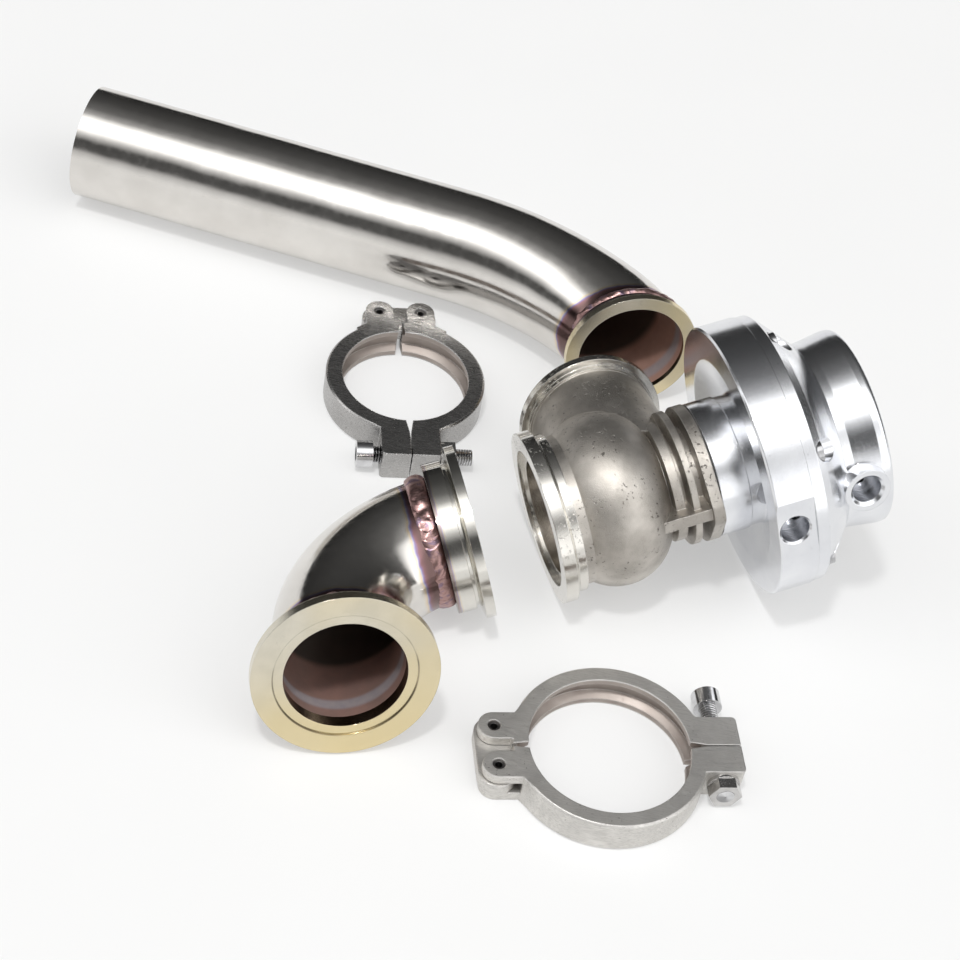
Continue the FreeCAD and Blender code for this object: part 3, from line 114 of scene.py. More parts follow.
# a weld: its rim, where the bead starts behind it, the bead's width and height, its
# ripples round the tube, and how far behind the rim the tube's own heat tint starts
Weld = collections.namedtuple("Weld", "rim start width height ripples toe")
SMALL_WELD = Weld(SMALL_RIM, 10.6 * MM, 7.2 * MM, 2.4 * MM, 30, 16.4 * MM)
LARGE_WELD = Weld(LARGE_RIM, 7.8 * MM, 6.4 * MM, 2.4 * MM, 30, 13.4 * MM)
DUMP_WELD = Weld(DUMP_RIM, 5.1 * MM, 4.4 * MM, 2.2 * MM, 40, 9.2 * MM)


# ---------------------------------------------------------------- materials

class Nodes:
    """A node tree, with short ways to add nodes and join them."""

    def __init__(self, tree):
        self.tree = tree

    def node(self, kind, **settings):
        node = self.tree.nodes.new(kind)
        for name, value in settings.items():
            setattr(node, name, value)
        return node

    def put(self, socket, value):
        """Join an output to a socket, or set the socket to a plain value."""
        if isinstance(value, bpy.types.NodeSocket):
            self.tree.links.new(value, socket)
        elif isinstance(value, tuple) and len(value) == 3 and socket.type == "RGBA":
            socket.default_value = (*value, 1.0)
        else:
            socket.default_value = value

    def maths(self, operation, *values, clamp=False):
        node = self.node("ShaderNodeMath", operation=operation, use_clamp=clamp)
        for socket, value in zip(node.inputs, values):
            self.put(socket, value)
        return node.outputs[0]

    def pair(self, first, second):
        """Two numbers as a vector."""
        node = self.node("ShaderNodeCombineXYZ")
        self.put(node.inputs[0], first)
        self.put(node.inputs[1], second)
        return node.outputs[0]

    def vector(self, operation, *values):
        node = self.node("ShaderNodeVectorMath", operation=operation)
        for socket, value in zip(node.inputs, values):
            self.put(socket, value)
        scalar = operation in ("DOT_PRODUCT", "LENGTH")
        return node.outputs["Value" if scalar else "Vector"]

    def fade(self, value, start, end, low=0.0, high=1.0):
        """From low to high as the value goes from start to end."""
        node = self.node("ShaderNodeMapRange", interpolation_type="SMOOTHSTEP")
        for socket, amount in zip(node.inputs, (value, start, end, low, high)):
            self.put(socket, amount)
        return node.outputs["Result"]

    def blend(self, factor, first, second, mode="MIX"):
        node = self.node("ShaderNodeMix", data_type="RGBA", blend_type=mode)
        self.put(node.inputs["Factor"], factor)
        self.put(node.inputs[6], first)
        self.put(node.inputs[7], second)
        return node.outputs[2]

    def ramp(self, factor, stops):
        node = self.node("ShaderNodeValToRGB")
        ramp = node.color_ramp
        while len(ramp.elements) < len(stops):
            ramp.elements.new(0.5)
        for element, (position, colour) in zip(ramp.elements, stops):
            element.position = position
            element.color = (*colour, 1.0)
        self.put(node.inputs["Fac"], factor)
        return node.outputs["Color"]

    def total(self, *terms):
        """The sum of some values, each times its own weight."""
        result = None
        for value, weight in terms:
            part = self.maths("MULTIPLY", value, weight)
            result = part if result is None else self.maths("ADD", result, part)
        return result

    def most(self, *values):
        result = values[0]
        for value in values[1:]:
            result = self.maths("MAXIMUM", result, value)
        return result

    def pick(self, choice, first, second):
        """First where the choice is one, second where it is nought."""
        kept = self.maths("MULTIPLY", first, choice)
        other = self.maths("MULTIPLY", second, self.maths("SUBTRACT", 1.0, choice))
        return self.maths("ADD", kept, other)

    def beyond(self, distance, limit):
        """How far a distance is beyond a limit, either way."""
        return self.maths("ABSOLUTE", self.maths("SUBTRACT", distance, limit))


class Finish(Nodes):
    """A metal or other material, with the patterns that its surface is made of."""

    def __init__(self, name, metallic=1.0):
        self.material = bpy.data.materials.new(name)
        self.material.use_nodes = True
        super().__init__(self.material.node_tree)
        self.shader = self.tree.nodes["Principled BSDF"]
        self.shader.inputs["Metallic"].default_value = metallic
        self.place = self.node("ShaderNodeTexCoord").outputs["Object"]

    def set(self, **values):
        """Set the shader's sockets, named with underscores for spaces."""
        for name, value in values.items():
            self.put(self.shader.inputs[name.replace("_", " ")], value)

    def noise(self, size, detail=3.0, roughness=0.55, place=None, distortion=0.0):
        """Noise whose lumps are about this size."""
        node = self.node("ShaderNodeTexNoise")
        self.put(node.inputs["Vector"], place or self.place)
        self.put(node.inputs["Scale"], 1 / size)
        self.put(node.inputs["Detail"], detail)
        self.put(node.inputs["Roughness"], roughness)
        self.put(node.inputs["Distortion"], distortion)
        return node.outputs["Fac"]

    def tones(self, pattern, first, second):
        """Two tones, by a pattern of noise."""
        return self.blend(self.fade(pattern, 0.3, 0.7), first, second)

    def stain(self, share, amount, colour, tint):
        """The colour with a tint over it, by this amount where the share is one."""
        return self.blend(self.maths("MULTIPLY", share, amount), colour, tint)

    def bump(self, height, distance, normal=None):
        node = self.node("ShaderNodeBump")
        self.put(node.inputs["Strength"], 1.0)
        self.put(node.inputs["Distance"], distance)
        self.put(node.inputs["Height"], height)
        if normal:
            self.put(node.inputs["Normal"], normal)
        return node.outputs["Normal"]

    def rounded(self, radius):
        """The normal with the edges softened."""
        node = self.node("ShaderNodeBevel", samples=4)
        self.put(node.inputs["Radius"], radius)
        return node.outputs["Normal"]

    def edge(self, rounded):
        """One along the edges that the rounded normal finds, and nought elsewhere."""
        plain = self.node("ShaderNodeNewGeometry").outputs["Normal"]
        return self.fade(self.vector("DOT_PRODUCT", rounded, plain), 0.98, 0.75)

    def facing(self, direction):
        """One where the surface faces along a direction, either way, nought across it."""
        plain = self.node("ShaderNodeNewGeometry").outputs["True Normal"]
        lean = self.maths("ABSOLUTE", self.vector("DOT_PRODUCT", plain, tuple(direction)))
        return self.fade(lean, 0.45, 0.75)

    # distances in a mount's own frame
    def offset(self, mount):
        return self.vector("SUBTRACT", self.place, tuple(mount.point))

    def along(self, mount):
        """How far outward from the mount."""
        return self.vector("DOT_PRODUCT", self.offset(mount), tuple(mount.axis))

    def radius(self, mount):
        """How far from the mount's axis."""
        across = self.vector("CROSS_PRODUCT", self.offset(mount), tuple(mount.axis))
        return self.vector("LENGTH", across)

    def turn(self, mount):
        """The angle round the mount's axis, in turns."""
        offset = self.offset(mount)
        angle = self.maths(
            "ARCTAN2",
            self.vector("DOT_PRODUCT", offset, tuple(mount.over)),
            self.vector("DOT_PRODUCT", offset, tuple(mount.side)),
        )
        return self.maths("DIVIDE", angle, FULL_TURN)

    def rings(self, distance, pitch, wobble=0.0):
        """Turning marks: waves this far apart along a distance."""
        wave = self.maths("MULTIPLY", distance, FULL_TURN / pitch)
        if wobble:
            wave = self.maths("ADD", wave, self.maths("MULTIPLY", self.noise(pitch * 9), wobble))
        return self.maths("SINE", wave)

    def thread(self, mount, pitch):
        """A screw thread round a mount's axis."""
        rise = self.maths("DIVIDE", self.along(mount), pitch)
        spiral = self.maths("ADD", rise, self.turn(mount))
        return self.maths("PINGPONG", spiral, 0.5)

    def ring_distance(self, centre, axis, radius):
        """Distance from a circle."""
        circle = Mount(centre, axis)
        across = self.maths("SUBTRACT", self.radius(circle), radius)
        return self.vector("LENGTH", self.pair(across, self.along(circle)))


# heat colours of stainless from the weld outward: grey-brown, purple, blue, straw, bare
HEAT = (
    (0.0, (0.15, 0.095, 0.09)),
    (0.26, (0.24, 0.135, 0.14)),
    (0.42, (0.27, 0.20, 0.33)),
    (0.50, (0.40, 0.40, 0.52)),
    (0.62, (0.68, 0.54, 0.36)),
    (1.0, (0.74, 0.70, 0.62)),
)


def heat_tint(finish, distances, width, bare, fullness=1.0):
    """Bare metal with heat colours where a distance from a weld is small."""
    colour = bare
    for distance in distances:
        wander = finish.maths("MULTIPLY", finish.noise(9 * MM, 2), 0.5 * width)
        centred = finish.maths("SUBTRACT", wander, 0.25 * width)
        near = finish.fade(finish.maths("ADD", distance, centred), 0.0, width)
        tint = finish.ramp(near, HEAT)
        strength = finish.fade(near, 0.5, 1.0, fullness, 0.0)
        colour = finish.blend(strength, colour, tint)
    return colour


def cast_body():
    """Blasted casting with pits, and bright turned flanges."""
    finish = Finish("blasted_casting")
    soft = finish.rounded(0.5 * MM)
    worn = finish.edge(soft)
    inlet = finish.fade(
        finish.along(VALVE_INLET), -INLET_TURNED - 0.5 * MM, -INLET_TURNED)
    outlet = finish.fade(
        finish.along(VALVE_OUTLET), -OUTLET_TURNED - 0.6 * MM, -OUTLET_TURNED)
    turned = finish.most(inlet, outlet)
    cloud = finish.noise(14 * MM, 3)
    grain = finish.noise(0.35 * MM, 4, 0.7)
    pitted = finish.fade(finish.noise(16 * MM, 2), 0.40, 0.56)
    spots = finish.fade(finish.noise(1.3 * MM, 3, 0.6), 0.32, 0.40, 1.0, 0.0)
    pits = finish.maths("MULTIPLY", spots, pitted)
    cast = finish.blend(
        finish.fade(cloud, 0.35, 0.68), (0.36, 0.332, 0.298), (0.56, 0.525, 0.48))
    cast = finish.blend(finish.fade(grain, 0.3, 0.75, 0.0, 0.35), cast, (0.66, 0.64, 0.60))
    cast = finish.stain(pits, 0.75, cast, (0.10, 0.09, 0.08))
    bright = finish.blend(finish.noise(20 * MM, 2), (0.66, 0.635, 0.585), (0.76, 0.74, 0.70))
    colour = finish.blend(turned, cast, bright)
    colour = finish.stain(worn, 0.5, colour, (0.80, 0.78, 0.74))
    rough_cast = finish.fade(grain, 0.25, 0.8, 0.36, 0.52)
    rough_turned = finish.fade(cloud, 0.3, 0.7, 0.10, 0.2)
    rough = finish.pick(turned, rough_turned, rough_cast)
    marks = finish.rings(finish.along(VALVE_INLET), 0.4 * MM, 1.0)
    height = finish.total(
        (finish.maths("MULTIPLY", marks, turned), 0.02),
        (finish.maths("MULTIPLY", grain, finish.maths("SUBTRACT", 1.0, turned)), 1.0),
        (pits, -1.6),
    )
    finish.set(
        Base_Color=colour,
        Roughness=rough,
        Normal=finish.bump(height, 0.09 * MM, soft),
    )
    return finish.material


def machined(name, mount, bare, rough, gold=0.0):
    """Turned steel with fine rings round a mount's axis: the finish and its colour."""
    finish = Finish(name)
    soft = finish.rounded(0.35 * MM)
    worn = finish.edge(soft)
    cloud = finish.noise(12 * MM, 3)
    colour = finish.tones(cloud, bare, tuple(0.88 * c for c in bare))
    if gold:
        lean = finish.fade(finish.noise(38 * MM, 1), 0.35, 0.65, 0.0, gold)
        colour = finish.blend(lean, colour, (0.74, 0.62, 0.36))
    scuffs = finish.fade(finish.noise(0.9 * MM, 3, 0.7), 0.62, 0.72)
    colour = finish.stain(scuffs, 0.25, colour, (0.30, 0.27, 0.23))
    colour = finish.stain(worn, 0.4, colour, (0.85, 0.84, 0.81))
    face = finish.rings(finish.radius(mount), 0.32 * MM, 1.5)
    wall = finish.rings(finish.along(mount), 0.32 * MM, 1.5)
    height = finish.maths("ADD", face, wall)
    finish.set(
        Base_Color=colour,
        Roughness=finish.fade(cloud, 0.3, 0.7, rough, rough + 0.1),
        Normal=finish.bump(height, 0.0016 * MM, soft),
    )
    return finish, colour


def large_flange():
    """The elbow's large flange: pale gold face with an engraved circle."""
    finish, colour = machined(
        "large_flange_steel", LARGE_RIM, (0.70, 0.66, 0.56), 0.16, gold=0.55)
    radius = finish.radius(LARGE_RIM)
    behind = finish.fade(
        finish.along(LARGE_RIM), -GOLD_DEPTH - 2.4 * MM, -GOLD_DEPTH, 1.0, 0.0)
    above_floor = finish.vector("DOT_PRODUCT", finish.place, (0.0, 0.0, 1.0))
    golden = finish.fade(above_floor, 48 * MM, 4 * MM, 0.0, 0.6)
    colour = finish.blend(golden, colour, (0.74, 0.61, 0.33))
    # painted shade: a dark, uneven line is painted round the engraved circle, the shade in its groove
    engraved = finish.beyond(radius, ENGRAVED_RADIUS)
    engraved_shade = finish.fade(engraved, 0.1 * MM, 0.42 * MM, 1.0, 0.0)
    uneven = finish.fade(finish.noise(22 * MM, 2), 0.35, 0.6, 0.15, 0.85)
    colour = finish.stain(engraved_shade, uneven, colour, (0.12, 0.10, 0.07))
    purple = finish.blend(finish.noise(6 * MM, 3), (0.30, 0.20, 0.26), (0.42, 0.33, 0.25))
    colour = finish.blend(behind, colour, purple)
    bore = finish.maths(
        "MULTIPLY",
        finish.maths("LESS_THAN", radius, LARGE_BORE),
        finish.maths("SUBTRACT", 1.0, finish.facing(LARGE_RIM.axis)),
    )
    burnt = finish.blend(finish.noise(5 * MM, 3), (0.48, 0.38, 0.26), (0.30, 0.22, 0.17))
    colour = finish.blend(bore, colour, burnt)
    finish.set(Base_Color=colour)
    return finish.material


def small_flange():
    """The elbow's small flange: bright, tinted where it meets the weld."""
    finish, colour = machined(
        "small_flange_steel", SMALL_RIM, (0.74, 0.72, 0.67), 0.08)
    from_weld = finish.maths("ADD", finish.along(SMALL_RIM), SMALL_HUB)
    finish.set(Base_Color=heat_tint(finish, [from_weld], 2.6 * MM, colour, 0.7))
    return finish.material


def dump_flange():
    """The dump tube's flange: gold and straw face."""
    finish, colour = machined(
        "dump_flange_steel", DUMP_RIM, (0.68, 0.62, 0.50), 0.16, gold=0.9)
    from_weld = finish.maths("ADD", finish.along(DUMP_RIM), DUMP_HUB)
    colour = heat_tint(finish, [from_weld], 2.4 * MM, colour, 0.8)
    finish.set(Base_Color=colour)
    return finish.material


def tube_steel(name, inside, welds, scratches, heat_width, soot_tones, mouth, lit_depth):
    """Polished tube, heat tinted by its welds, with a dark brown inside.

    The inside is told by the distance from the centreline. Its colour is painted as lit as far as a depth from the
    mouth, and painted black beyond it, as shadow. Polishing scratches go round the given mount.
    """
    finish = Finish(name)
    cloud = finish.noise(25 * MM, 3)
    bare = finish.tones(cloud, (0.76, 0.735, 0.70), (0.68, 0.655, 0.62))
    distances = [
        finish.maths("SUBTRACT", -weld.toe, finish.along(weld.rim)) for weld in welds
    ]
    colour = heat_tint(finish, distances, heat_width, bare)
    specks = finish.fade(finish.noise(0.7 * MM, 2), 0.70, 0.76)
    colour = finish.stain(specks, 0.5, colour, (0.25, 0.22, 0.20))
    dark = finish.fade(
        inside(finish), WALL_MIDDLE - 0.2 * MM, WALL_MIDDLE + 0.2 * MM, 1.0, 0.0)
    soot_and_shade = finish.blend(finish.noise(8 * MM, 4, 0.6), *soot_tones)
    # painted shadow: deeper in than the lit depth from the mouth, the inside's colour is painted near black
    shade = finish.fade(
        finish.along(mouth), -lit_depth - 3 * MM, -lit_depth + 1 * MM, 0.88, 0.0)
    soot_and_shade = finish.blend(shade, soot_and_shade, (0.035, 0.032, 0.026))
    for weld in welds:
        thread_root_shade = finish.beyond(finish.along(weld.rim), -weld.toe + 3.0 * MM)
        band = finish.fade(thread_root_shade, 1.2 * MM, 3.4 * MM, 0.8, 0.0)
        blue = finish.blend(finish.noise(2.5 * MM, 3), (0.30, 0.30, 0.36), (0.50, 0.45, 0.44))
        soot_and_shade = finish.blend(band, soot_and_shade, blue)
    colour = finish.blend(dark, colour, soot_and_shade)
    brushed = finish.rings(finish.along(scratches), 0.5 * MM, 9.0)
    fine = finish.noise(0.5 * MM, 3, 0.6)
    wavy = finish.noise(18 * MM, 1)
    height = finish.total((brushed, 0.0006), (fine, 0.002), (wavy, 0.25))
    rough = finish.fade(finish.noise(3 * MM, 4, 0.6), 0.3, 0.75, 0.10, 0.19)
    finish.set(
        Base_Color=colour,
        Metallic=finish.maths("SUBTRACT", 1.0, finish.maths("MULTIPLY", dark, 0.75)),
        Roughness=finish.pick(dark, 0.36, rough),
        Normal=finish.bump(height, 1.0 * MM),
    )
    return finish.material


def elbow_inside(finish):
    """Distance from the elbow's centreline."""
    legs = LARGE_RIM.axis, SMALL_RIM.axis
    apart = SMALL_RIM.point - LARGE_RIM.point
    corner = LARGE_RIM.point + legs[0] * apart.dot(legs[0])
    centre = corner + (legs[0] + legs[1]) * ELBOW_BEND
    distance = finish.ring_distance(centre, legs[0].cross(legs[1]), ELBOW_BEND)
    for mount, leg in zip((LARGE_RIM, SMALL_RIM), legs):
        run = finish.along(Mount(corner + leg * ELBOW_BEND, leg))
        straight = finish.maths("GREATER_THAN", run, 0.0)
        distance = finish.pick(straight, finish.radius(mount), distance)
    return distance


def dump_inside(finish):
    """Distance from the dump tube's centreline."""
    heading = -TUBE_END.axis
    toward = (DUMP_RIM.axis - heading * DUMP_RIM.axis.dot(heading)).normalized()
    flat = heading.cross(toward)
    distance = finish.radius(TUBE_END)
    start = TUBE_END.point + heading * (DUMP_STRAIGHT / 2)
    for radius, angle in DUMP_BENDS:
        centre = start + toward * radius
        run = finish.along(Mount(start, heading))
        bending = finish.maths("GREATER_THAN", run, 0.0)
        bend = finish.ring_distance(centre, flat, radius)
        distance = finish.pick(bending, bend, distance)
        turned = Matrix.Rotation(angle, 3, flat)
        start = centre + turned @ (start - centre)
        heading = turned @ heading
        toward = turned @ toward
    return distance


def weld_finish(name, weld):
    """A rippled bead in purple, brown and blue."""
    finish = Finish(name)
    patch = finish.noise(5 * MM, 3, 0.6, distortion=0.6)
    colour = finish.ramp(patch, (
        (0.25, (0.17, 0.10, 0.10)),
        (0.40, (0.38, 0.23, 0.22)),
        (0.52, (0.50, 0.32, 0.30)),
        (0.64, (0.28, 0.20, 0.28)),
        (0.80, (0.52, 0.40, 0.37)),
    ))
    axial = finish.maths("ADD", finish.along(weld.rim), weld.start + weld.width / 2)
    bowed = finish.maths("MULTIPLY", axial, axial)
    step = finish.total(
        (finish.turn(weld.rim), weld.ripples * 3.0),
        (bowed, 4.0e4),
        (finish.noise(6 * MM, 2), 5.0),
    )
    ripple = finish.maths("FRACT", step)
    grain = finish.noise(0.5 * MM, 3)
    height = finish.maths("ADD", ripple, finish.maths("MULTIPLY", grain, 0.4))
    crest = finish.fade(ripple, 0.7, 1.0, 0.0, 0.3)
    colour = finish.blend(crest, colour, (0.16, 0.10, 0.10))
    finish.set(
        Base_Color=colour,
        Roughness=finish.fade(patch, 0.3, 0.7, 0.30, 0.46),
        Normal=finish.bump(height, 0.09 * MM),
    )
    return finish.material


def aluminium(name, port):
    """Bright machined aluminium with a thread in its port."""
    finish = Finish(name)
    soft = finish.rounded(0.4 * MM)
    worn = finish.edge(soft)
    cloud = finish.noise(18 * MM, 3)
    sparkle = finish.noise(0.6 * MM, 4, 0.75)
    colour = finish.tones(cloud, (0.82, 0.83, 0.85), (0.74, 0.75, 0.78))
    # painted glints: fine spots of the colour are lifted to bluish white
    glint = finish.fade(sparkle, 0.62, 0.8, 0.0, 0.5)
    colour = finish.blend(glint, colour, (0.93, 0.95, 1.0))
    nicks = finish.fade(finish.noise(1.3 * MM, 3, 0.7), 0.66, 0.72)
    colour = finish.stain(nicks, 0.4, colour, (0.36, 0.37, 0.40))
    colour = finish.stain(worn, 0.5, colour, (0.95, 0.95, 0.97))
    wall = finish.rings(finish.along(VALVE_INLET), 0.3 * MM, 1.5)
    face = finish.rings(finish.radius(VALVE_INLET), 0.3 * MM, 1.5)
    height = finish.total((finish.maths("ADD", wall, face), 0.004), (sparkle, 0.03))
    near = finish.fade(
        finish.radius(port), PORT_RADIUS - 0.1 * MM, PORT_RADIUS + 0.15 * MM, 1.0, 0.0)
    cut = finish.maths("MULTIPLY", near, finish.thread(port, PORT_PITCH))
    height = finish.maths("ADD", height, cut)
    # painted shade: the port's threaded wall is darkened
    colour = finish.stain(near, 0.45, colour, (0.30, 0.31, 0.34))
    finish.set(
        Base_Color=colour,
        Roughness=finish.fade(sparkle, 0.3, 0.8, 0.15, 0.26),
        Normal=finish.bump(height, 0.25 * MM, soft),
    )
    return finish.material


def clamp_steel(name, lips, base, groove_radius, rough):
    """Satin cast clamp, sanded in one direction, with a brown turned groove inside."""
    finish = Finish(name)
    soft = finish.rounded(0.6 * MM)
    worn = finish.edge(soft)
    cloud = finish.noise(9 * MM, 3)
    grain = finish.noise(0.4 * MM, 4, 0.7)
    strokes = finish.node("ShaderNodeMapping")
    finish.put(strokes.inputs["Vector"], finish.place)
    strokes.inputs["Rotation"].default_value = (0.0, 0.0, 0.5)
    strokes.inputs["Scale"].default_value = (0.12, 1.0, 1.0)
    brushed = finish.noise(0.5 * MM, 3, 0.6, place=strokes.outputs["Vector"])
    colour = finish.tones(cloud, base, tuple(0.84 * c for c in base))
    colour = finish.blend(finish.fade(grain, 0.3, 0.75, 0.0, 0.35), colour, (0.70, 0.69, 0.68))
    spots = finish.fade(finish.noise(1.0 * MM, 2), 0.28, 0.36, 1.0, 0.0)
    pitted = finish.fade(finish.noise(11 * MM, 2), 0.45, 0.62)
    pits = finish.maths("MULTIPLY", spots, pitted)
    colour = finish.stain(pits, 0.7, colour, (0.14, 0.12, 0.11))
    near = finish.fade(
        finish.radius(lips), groove_radius, groove_radius + 0.4 * MM, 1.0, 0.0)
    from_middle = finish.maths("ABSOLUTE", finish.along(lips))
    between = finish.fade(
        from_middle, CLAMP_HALF_WIDTH, CLAMP_HALF_WIDTH + 0.4 * MM, 1.0, 0.0)
    inner = finish.maths("MULTIPLY", near, between)
    streaks = finish.fade(brushed, 0.42, 0.66, 0.0, 0.9 * rough)
    colour = finish.blend(streaks, colour, tuple(0.62 * c for c in base))
    brown = finish.blend(cloud, (0.27, 0.225, 0.20), (0.50, 0.45, 0.415))
    colour = finish.blend(inner, colour, brown)
    colour = finish.stain(worn, 0.7, colour, (0.86, 0.85, 0.84))
    height = finish.total((brushed, 0.7), (grain, 0.6), (pits, -1.5))
    satin = finish.fade(brushed, 0.3, 0.7, rough, rough + 0.12)
    finish.set(
        Base_Color=colour,
        Roughness=finish.pick(inner, 0.5, satin),
        Normal=finish.bump(height, rough * 0.05 * MM, soft),
    )
    return finish.material


def screw_steel(name, mount=None, base=(0.72, 0.72, 0.73)):
    """Bright plated steel, threaded where it is thin about a mount's axis."""
    finish = Finish(name)
    soft = finish.rounded(0.25 * MM)
    cloud = finish.noise(5 * MM, 3)
    colour = finish.tones(cloud, base, tuple(0.8 * c for c in base))
    grime = finish.fade(finish.noise(1.2 * MM, 3), 0.6, 0.72)
    colour = finish.stain(grime, 0.35, colour, (0.22, 0.20, 0.18))
    colour = finish.stain(finish.edge(soft), 0.5, colour, (0.9, 0.9, 0.9))
    normal = finish.bump(finish.noise(0.4 * MM, 3), 0.01 * MM, soft)
    if mount:
        thin = finish.maths("LESS_THAN", finish.radius(mount), SCREW_RADIUS)
        thread = finish.thread(mount, SCREW_PITCH)
        normal = finish.bump(finish.maths("MULTIPLY", thin, thread), 0.9 * MM, normal)
        # painted shade: the thread's roots are painted near black
        thread_root_shade = finish.maths("MULTIPLY", thin, finish.fade(thread, 0.1, 0.3, 0.6, 0.0))
        colour = finish.blend(thread_root_shade, colour, (0.10, 0.10, 0.10))
    finish.set(
        Base_Color=colour,
        Roughness=finish.fade(cloud, 0.3, 0.7, 0.10, 0.2),
        Normal=normal,
    )
    return finish.material


def plain_metal(name, first, second, rough):
    """Metal for the smaller and inner pieces: two tones, grain and worn edges."""
    finish = Finish(name)
    soft = finish.rounded(0.3 * MM)
    cloud = finish.noise(6 * MM, 3)
    fine = finish.noise(0.5 * MM, 3, 0.65)
    colour = finish.tones(cloud, first, second)
    edge = tuple(min(1.0, c * 1.5) for c in first)
    colour = finish.stain(finish.edge(soft), 0.6, colour, edge)
    finish.set(
        Base_Color=colour,
        Roughness=finish.fade(fine, 0.3, 0.7, rough, rough + 0.12),
        Normal=finish.bump(fine, 0.02 * MM, soft),
    )
    return finish.material


def soft_stuff(name, first, second, weave):
    """Rubber or gasket sheet, with the weave of its cloth."""
    finish = Finish(name, metallic=0.0)
    cloud = finish.noise(4 * MM, 3)
    colour = finish.tones(cloud, first, second)
    separate = finish.node("ShaderNodeSeparateXYZ")
    finish.put(separate.inputs[0], finish.place)
    threads = [finish.rings(separate.outputs[index], weave) for index in (0, 1)]
    height = finish.maths("MAXIMUM", *threads)
    finish.set(
        Base_Color=colour,
        Roughness=finish.fade(cloud, 0.3, 0.7, 0.6, 0.8),
        Normal=finish.bump(height, 0.04 * MM),
    )
    return finish.material


def dress(material, *names):
    """Give every slot of these CAD nodes a material."""
    for name in names:
        mesh = nodes[name].data
        if not mesh.materials:
            mesh.materials.append(material)
        for index in range(len(mesh.materials)):
            mesh.materials[index] = material


dress(cast_body(), "valve_body")
dress(large_flange(), "elbow_large_flange")
dress(small_flange(), "elbow_small_flange")
dress(dump_flange(), "dump_flange")
dress(
    tube_steel(
        "elbow_tube_steel", elbow_inside, (SMALL_WELD, LARGE_WELD), SMALL_RIM, 6.5 * MM,
        ((0.40, 0.23, 0.19), (0.20, 0.145, 0.13)), LARGE_RIM, 30 * MM,
    ),
    "elbow_tube",
)
dress(
    tube_steel(
        "dump_tube_steel", dump_inside, (DUMP_WELD,), TUBE_END, 5.0 * MM,
        ((0.60, 0.37, 0.30), (0.38, 0.22, 0.17)), DUMP_RIM, 21 * MM,
    ),
    "dump_tube",
)
dress(aluminium("base_aluminium", BASE_PORT), "actuator_base")
dress(aluminium("cap_aluminium", CAP_PORT), "cap")
dress(
    clamp_steel("outlet_clamp_steel", OUTLET_CLAMP, (0.42, 0.41, 0.40), OUTLET_GROOVE, 0.22),
    "outlet_clamp_nut_half", "outlet_clamp_head_half", "outlet_clamp_link",
)
dress(
    clamp_steel("inlet_clamp_steel", INLET_CLAMP, (0.70, 0.68, 0.645), INLET_GROOVE, 0.42),
    "inlet_clamp_nut_half", "inlet_clamp_head_half", "inlet_clamp_link",
)

# the plainer metals: name, two tones, roughness, and the nodes that they dress
PLAIN_METALS = (
    ("dark_pin", (0.20, 0.195, 0.19), (0.11, 0.10, 0.10), 0.30, (
        "outlet_clamp_nut_pin", "outlet_clamp_head_pin",
        "inlet_clamp_nut_pin", "inlet_clamp_head_pin")),
    ("valve_steel", (0.52, 0.47, 0.42), (0.40, 0.35, 0.31), 0.22, ("valve",)),
    ("seat_steel", (0.66, 0.63, 0.58), (0.55, 0.52, 0.47), 0.15,
     ("valve_seat", "seal_retainer")),
    ("bushing_bronze", (0.62, 0.46, 0.24), (0.48, 0.34, 0.17), 0.22, ("guide_bush",)),
    ("spring_wire", (0.35, 0.36, 0.38), (0.24, 0.25, 0.27), 0.28,
     ("outer_spring", "inner_spring")),
    ("plate_aluminium", (0.78, 0.79, 0.81), (0.66, 0.67, 0.70), 0.24,
     ("lower_plate", "spring_cup")),
    ("plug_steel", (0.34, 0.34, 0.35), (0.22, 0.22, 0.23), 0.26,
     ("port_plug", "stem_nut")),
)
for name, light, dark, rough, dressed in PLAIN_METALS:
    dress(plain_metal(name, light, dark, rough), *dressed)

dress(screw_steel("body_screw_steel", base=(0.55, 0.55, 0.56)), "cap_screws", "body_screws")
dress(
    soft_stuff("seal_rubber", (0.045, 0.045, 0.05), (0.03, 0.03, 0.03), 0.5 * MM),
    "stem_seal", "diaphragm",
)
dress(soft_stuff("gasket_sheet", (0.20, 0.19, 0.18), (0.13, 0.13, 0.13), 0.4 * MM), "gasket")


def screw_axis(kind):
    """A clamp's screw runs through its nut, across as its two hinge pins lie."""
    pins = {joint["name"]: joint.get("pos_m") for joint in frame["joints"]}
    across = Vector(pins[f"{kind}_link_pivot"]) - Vector(pins[f"{kind}_half_pivot"])
    low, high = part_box(f"{kind}_nut")
    return Mount((low + high) / 2, across)


for kind in ("outlet_clamp", "inlet_clamp"):
    dress(screw_steel(f"{kind}_screw_steel", screw_axis(kind)), f"{kind}_screw")
    nut_steel = plain_metal(
        f"{kind}_nut_steel", (0.62, 0.61, 0.60), (0.46, 0.45, 0.44), 0.16)
    dress(nut_steel, f"{kind}_nut")


def add_object(name, mesh, material, smooth=True):
    """A scene object from a built mesh. If smooth, only its four-sided faces are."""
    data = bpy.data.meshes.new(name)
    mesh.to_mesh(data)
    mesh.free()
    for face in data.polygons:
        face.use_smooth = smooth and len(face.vertices) == 4
    data.materials.append(material)
    added = bpy.data.objects.new(name, data)
    bpy.context.scene.collection.objects.link(added)
    return added


# ---------------------------------------------------------------- weld beads

BEAD_STEPS, BEAD_ROWS = 720, 20
# how deep a bead's edges are sunk in the tube, and how far its track wanders
BEAD_SUNK, BEAD_DRIFT = 0.2 * MM, 0.7 * MM
# a bead's height as shares of its full height: plain, from ripples, and from lumps
BEAD_PLAIN, BEAD_RIPPLED, BEAD_LUMPED = 0.66, 0.11, 0.34


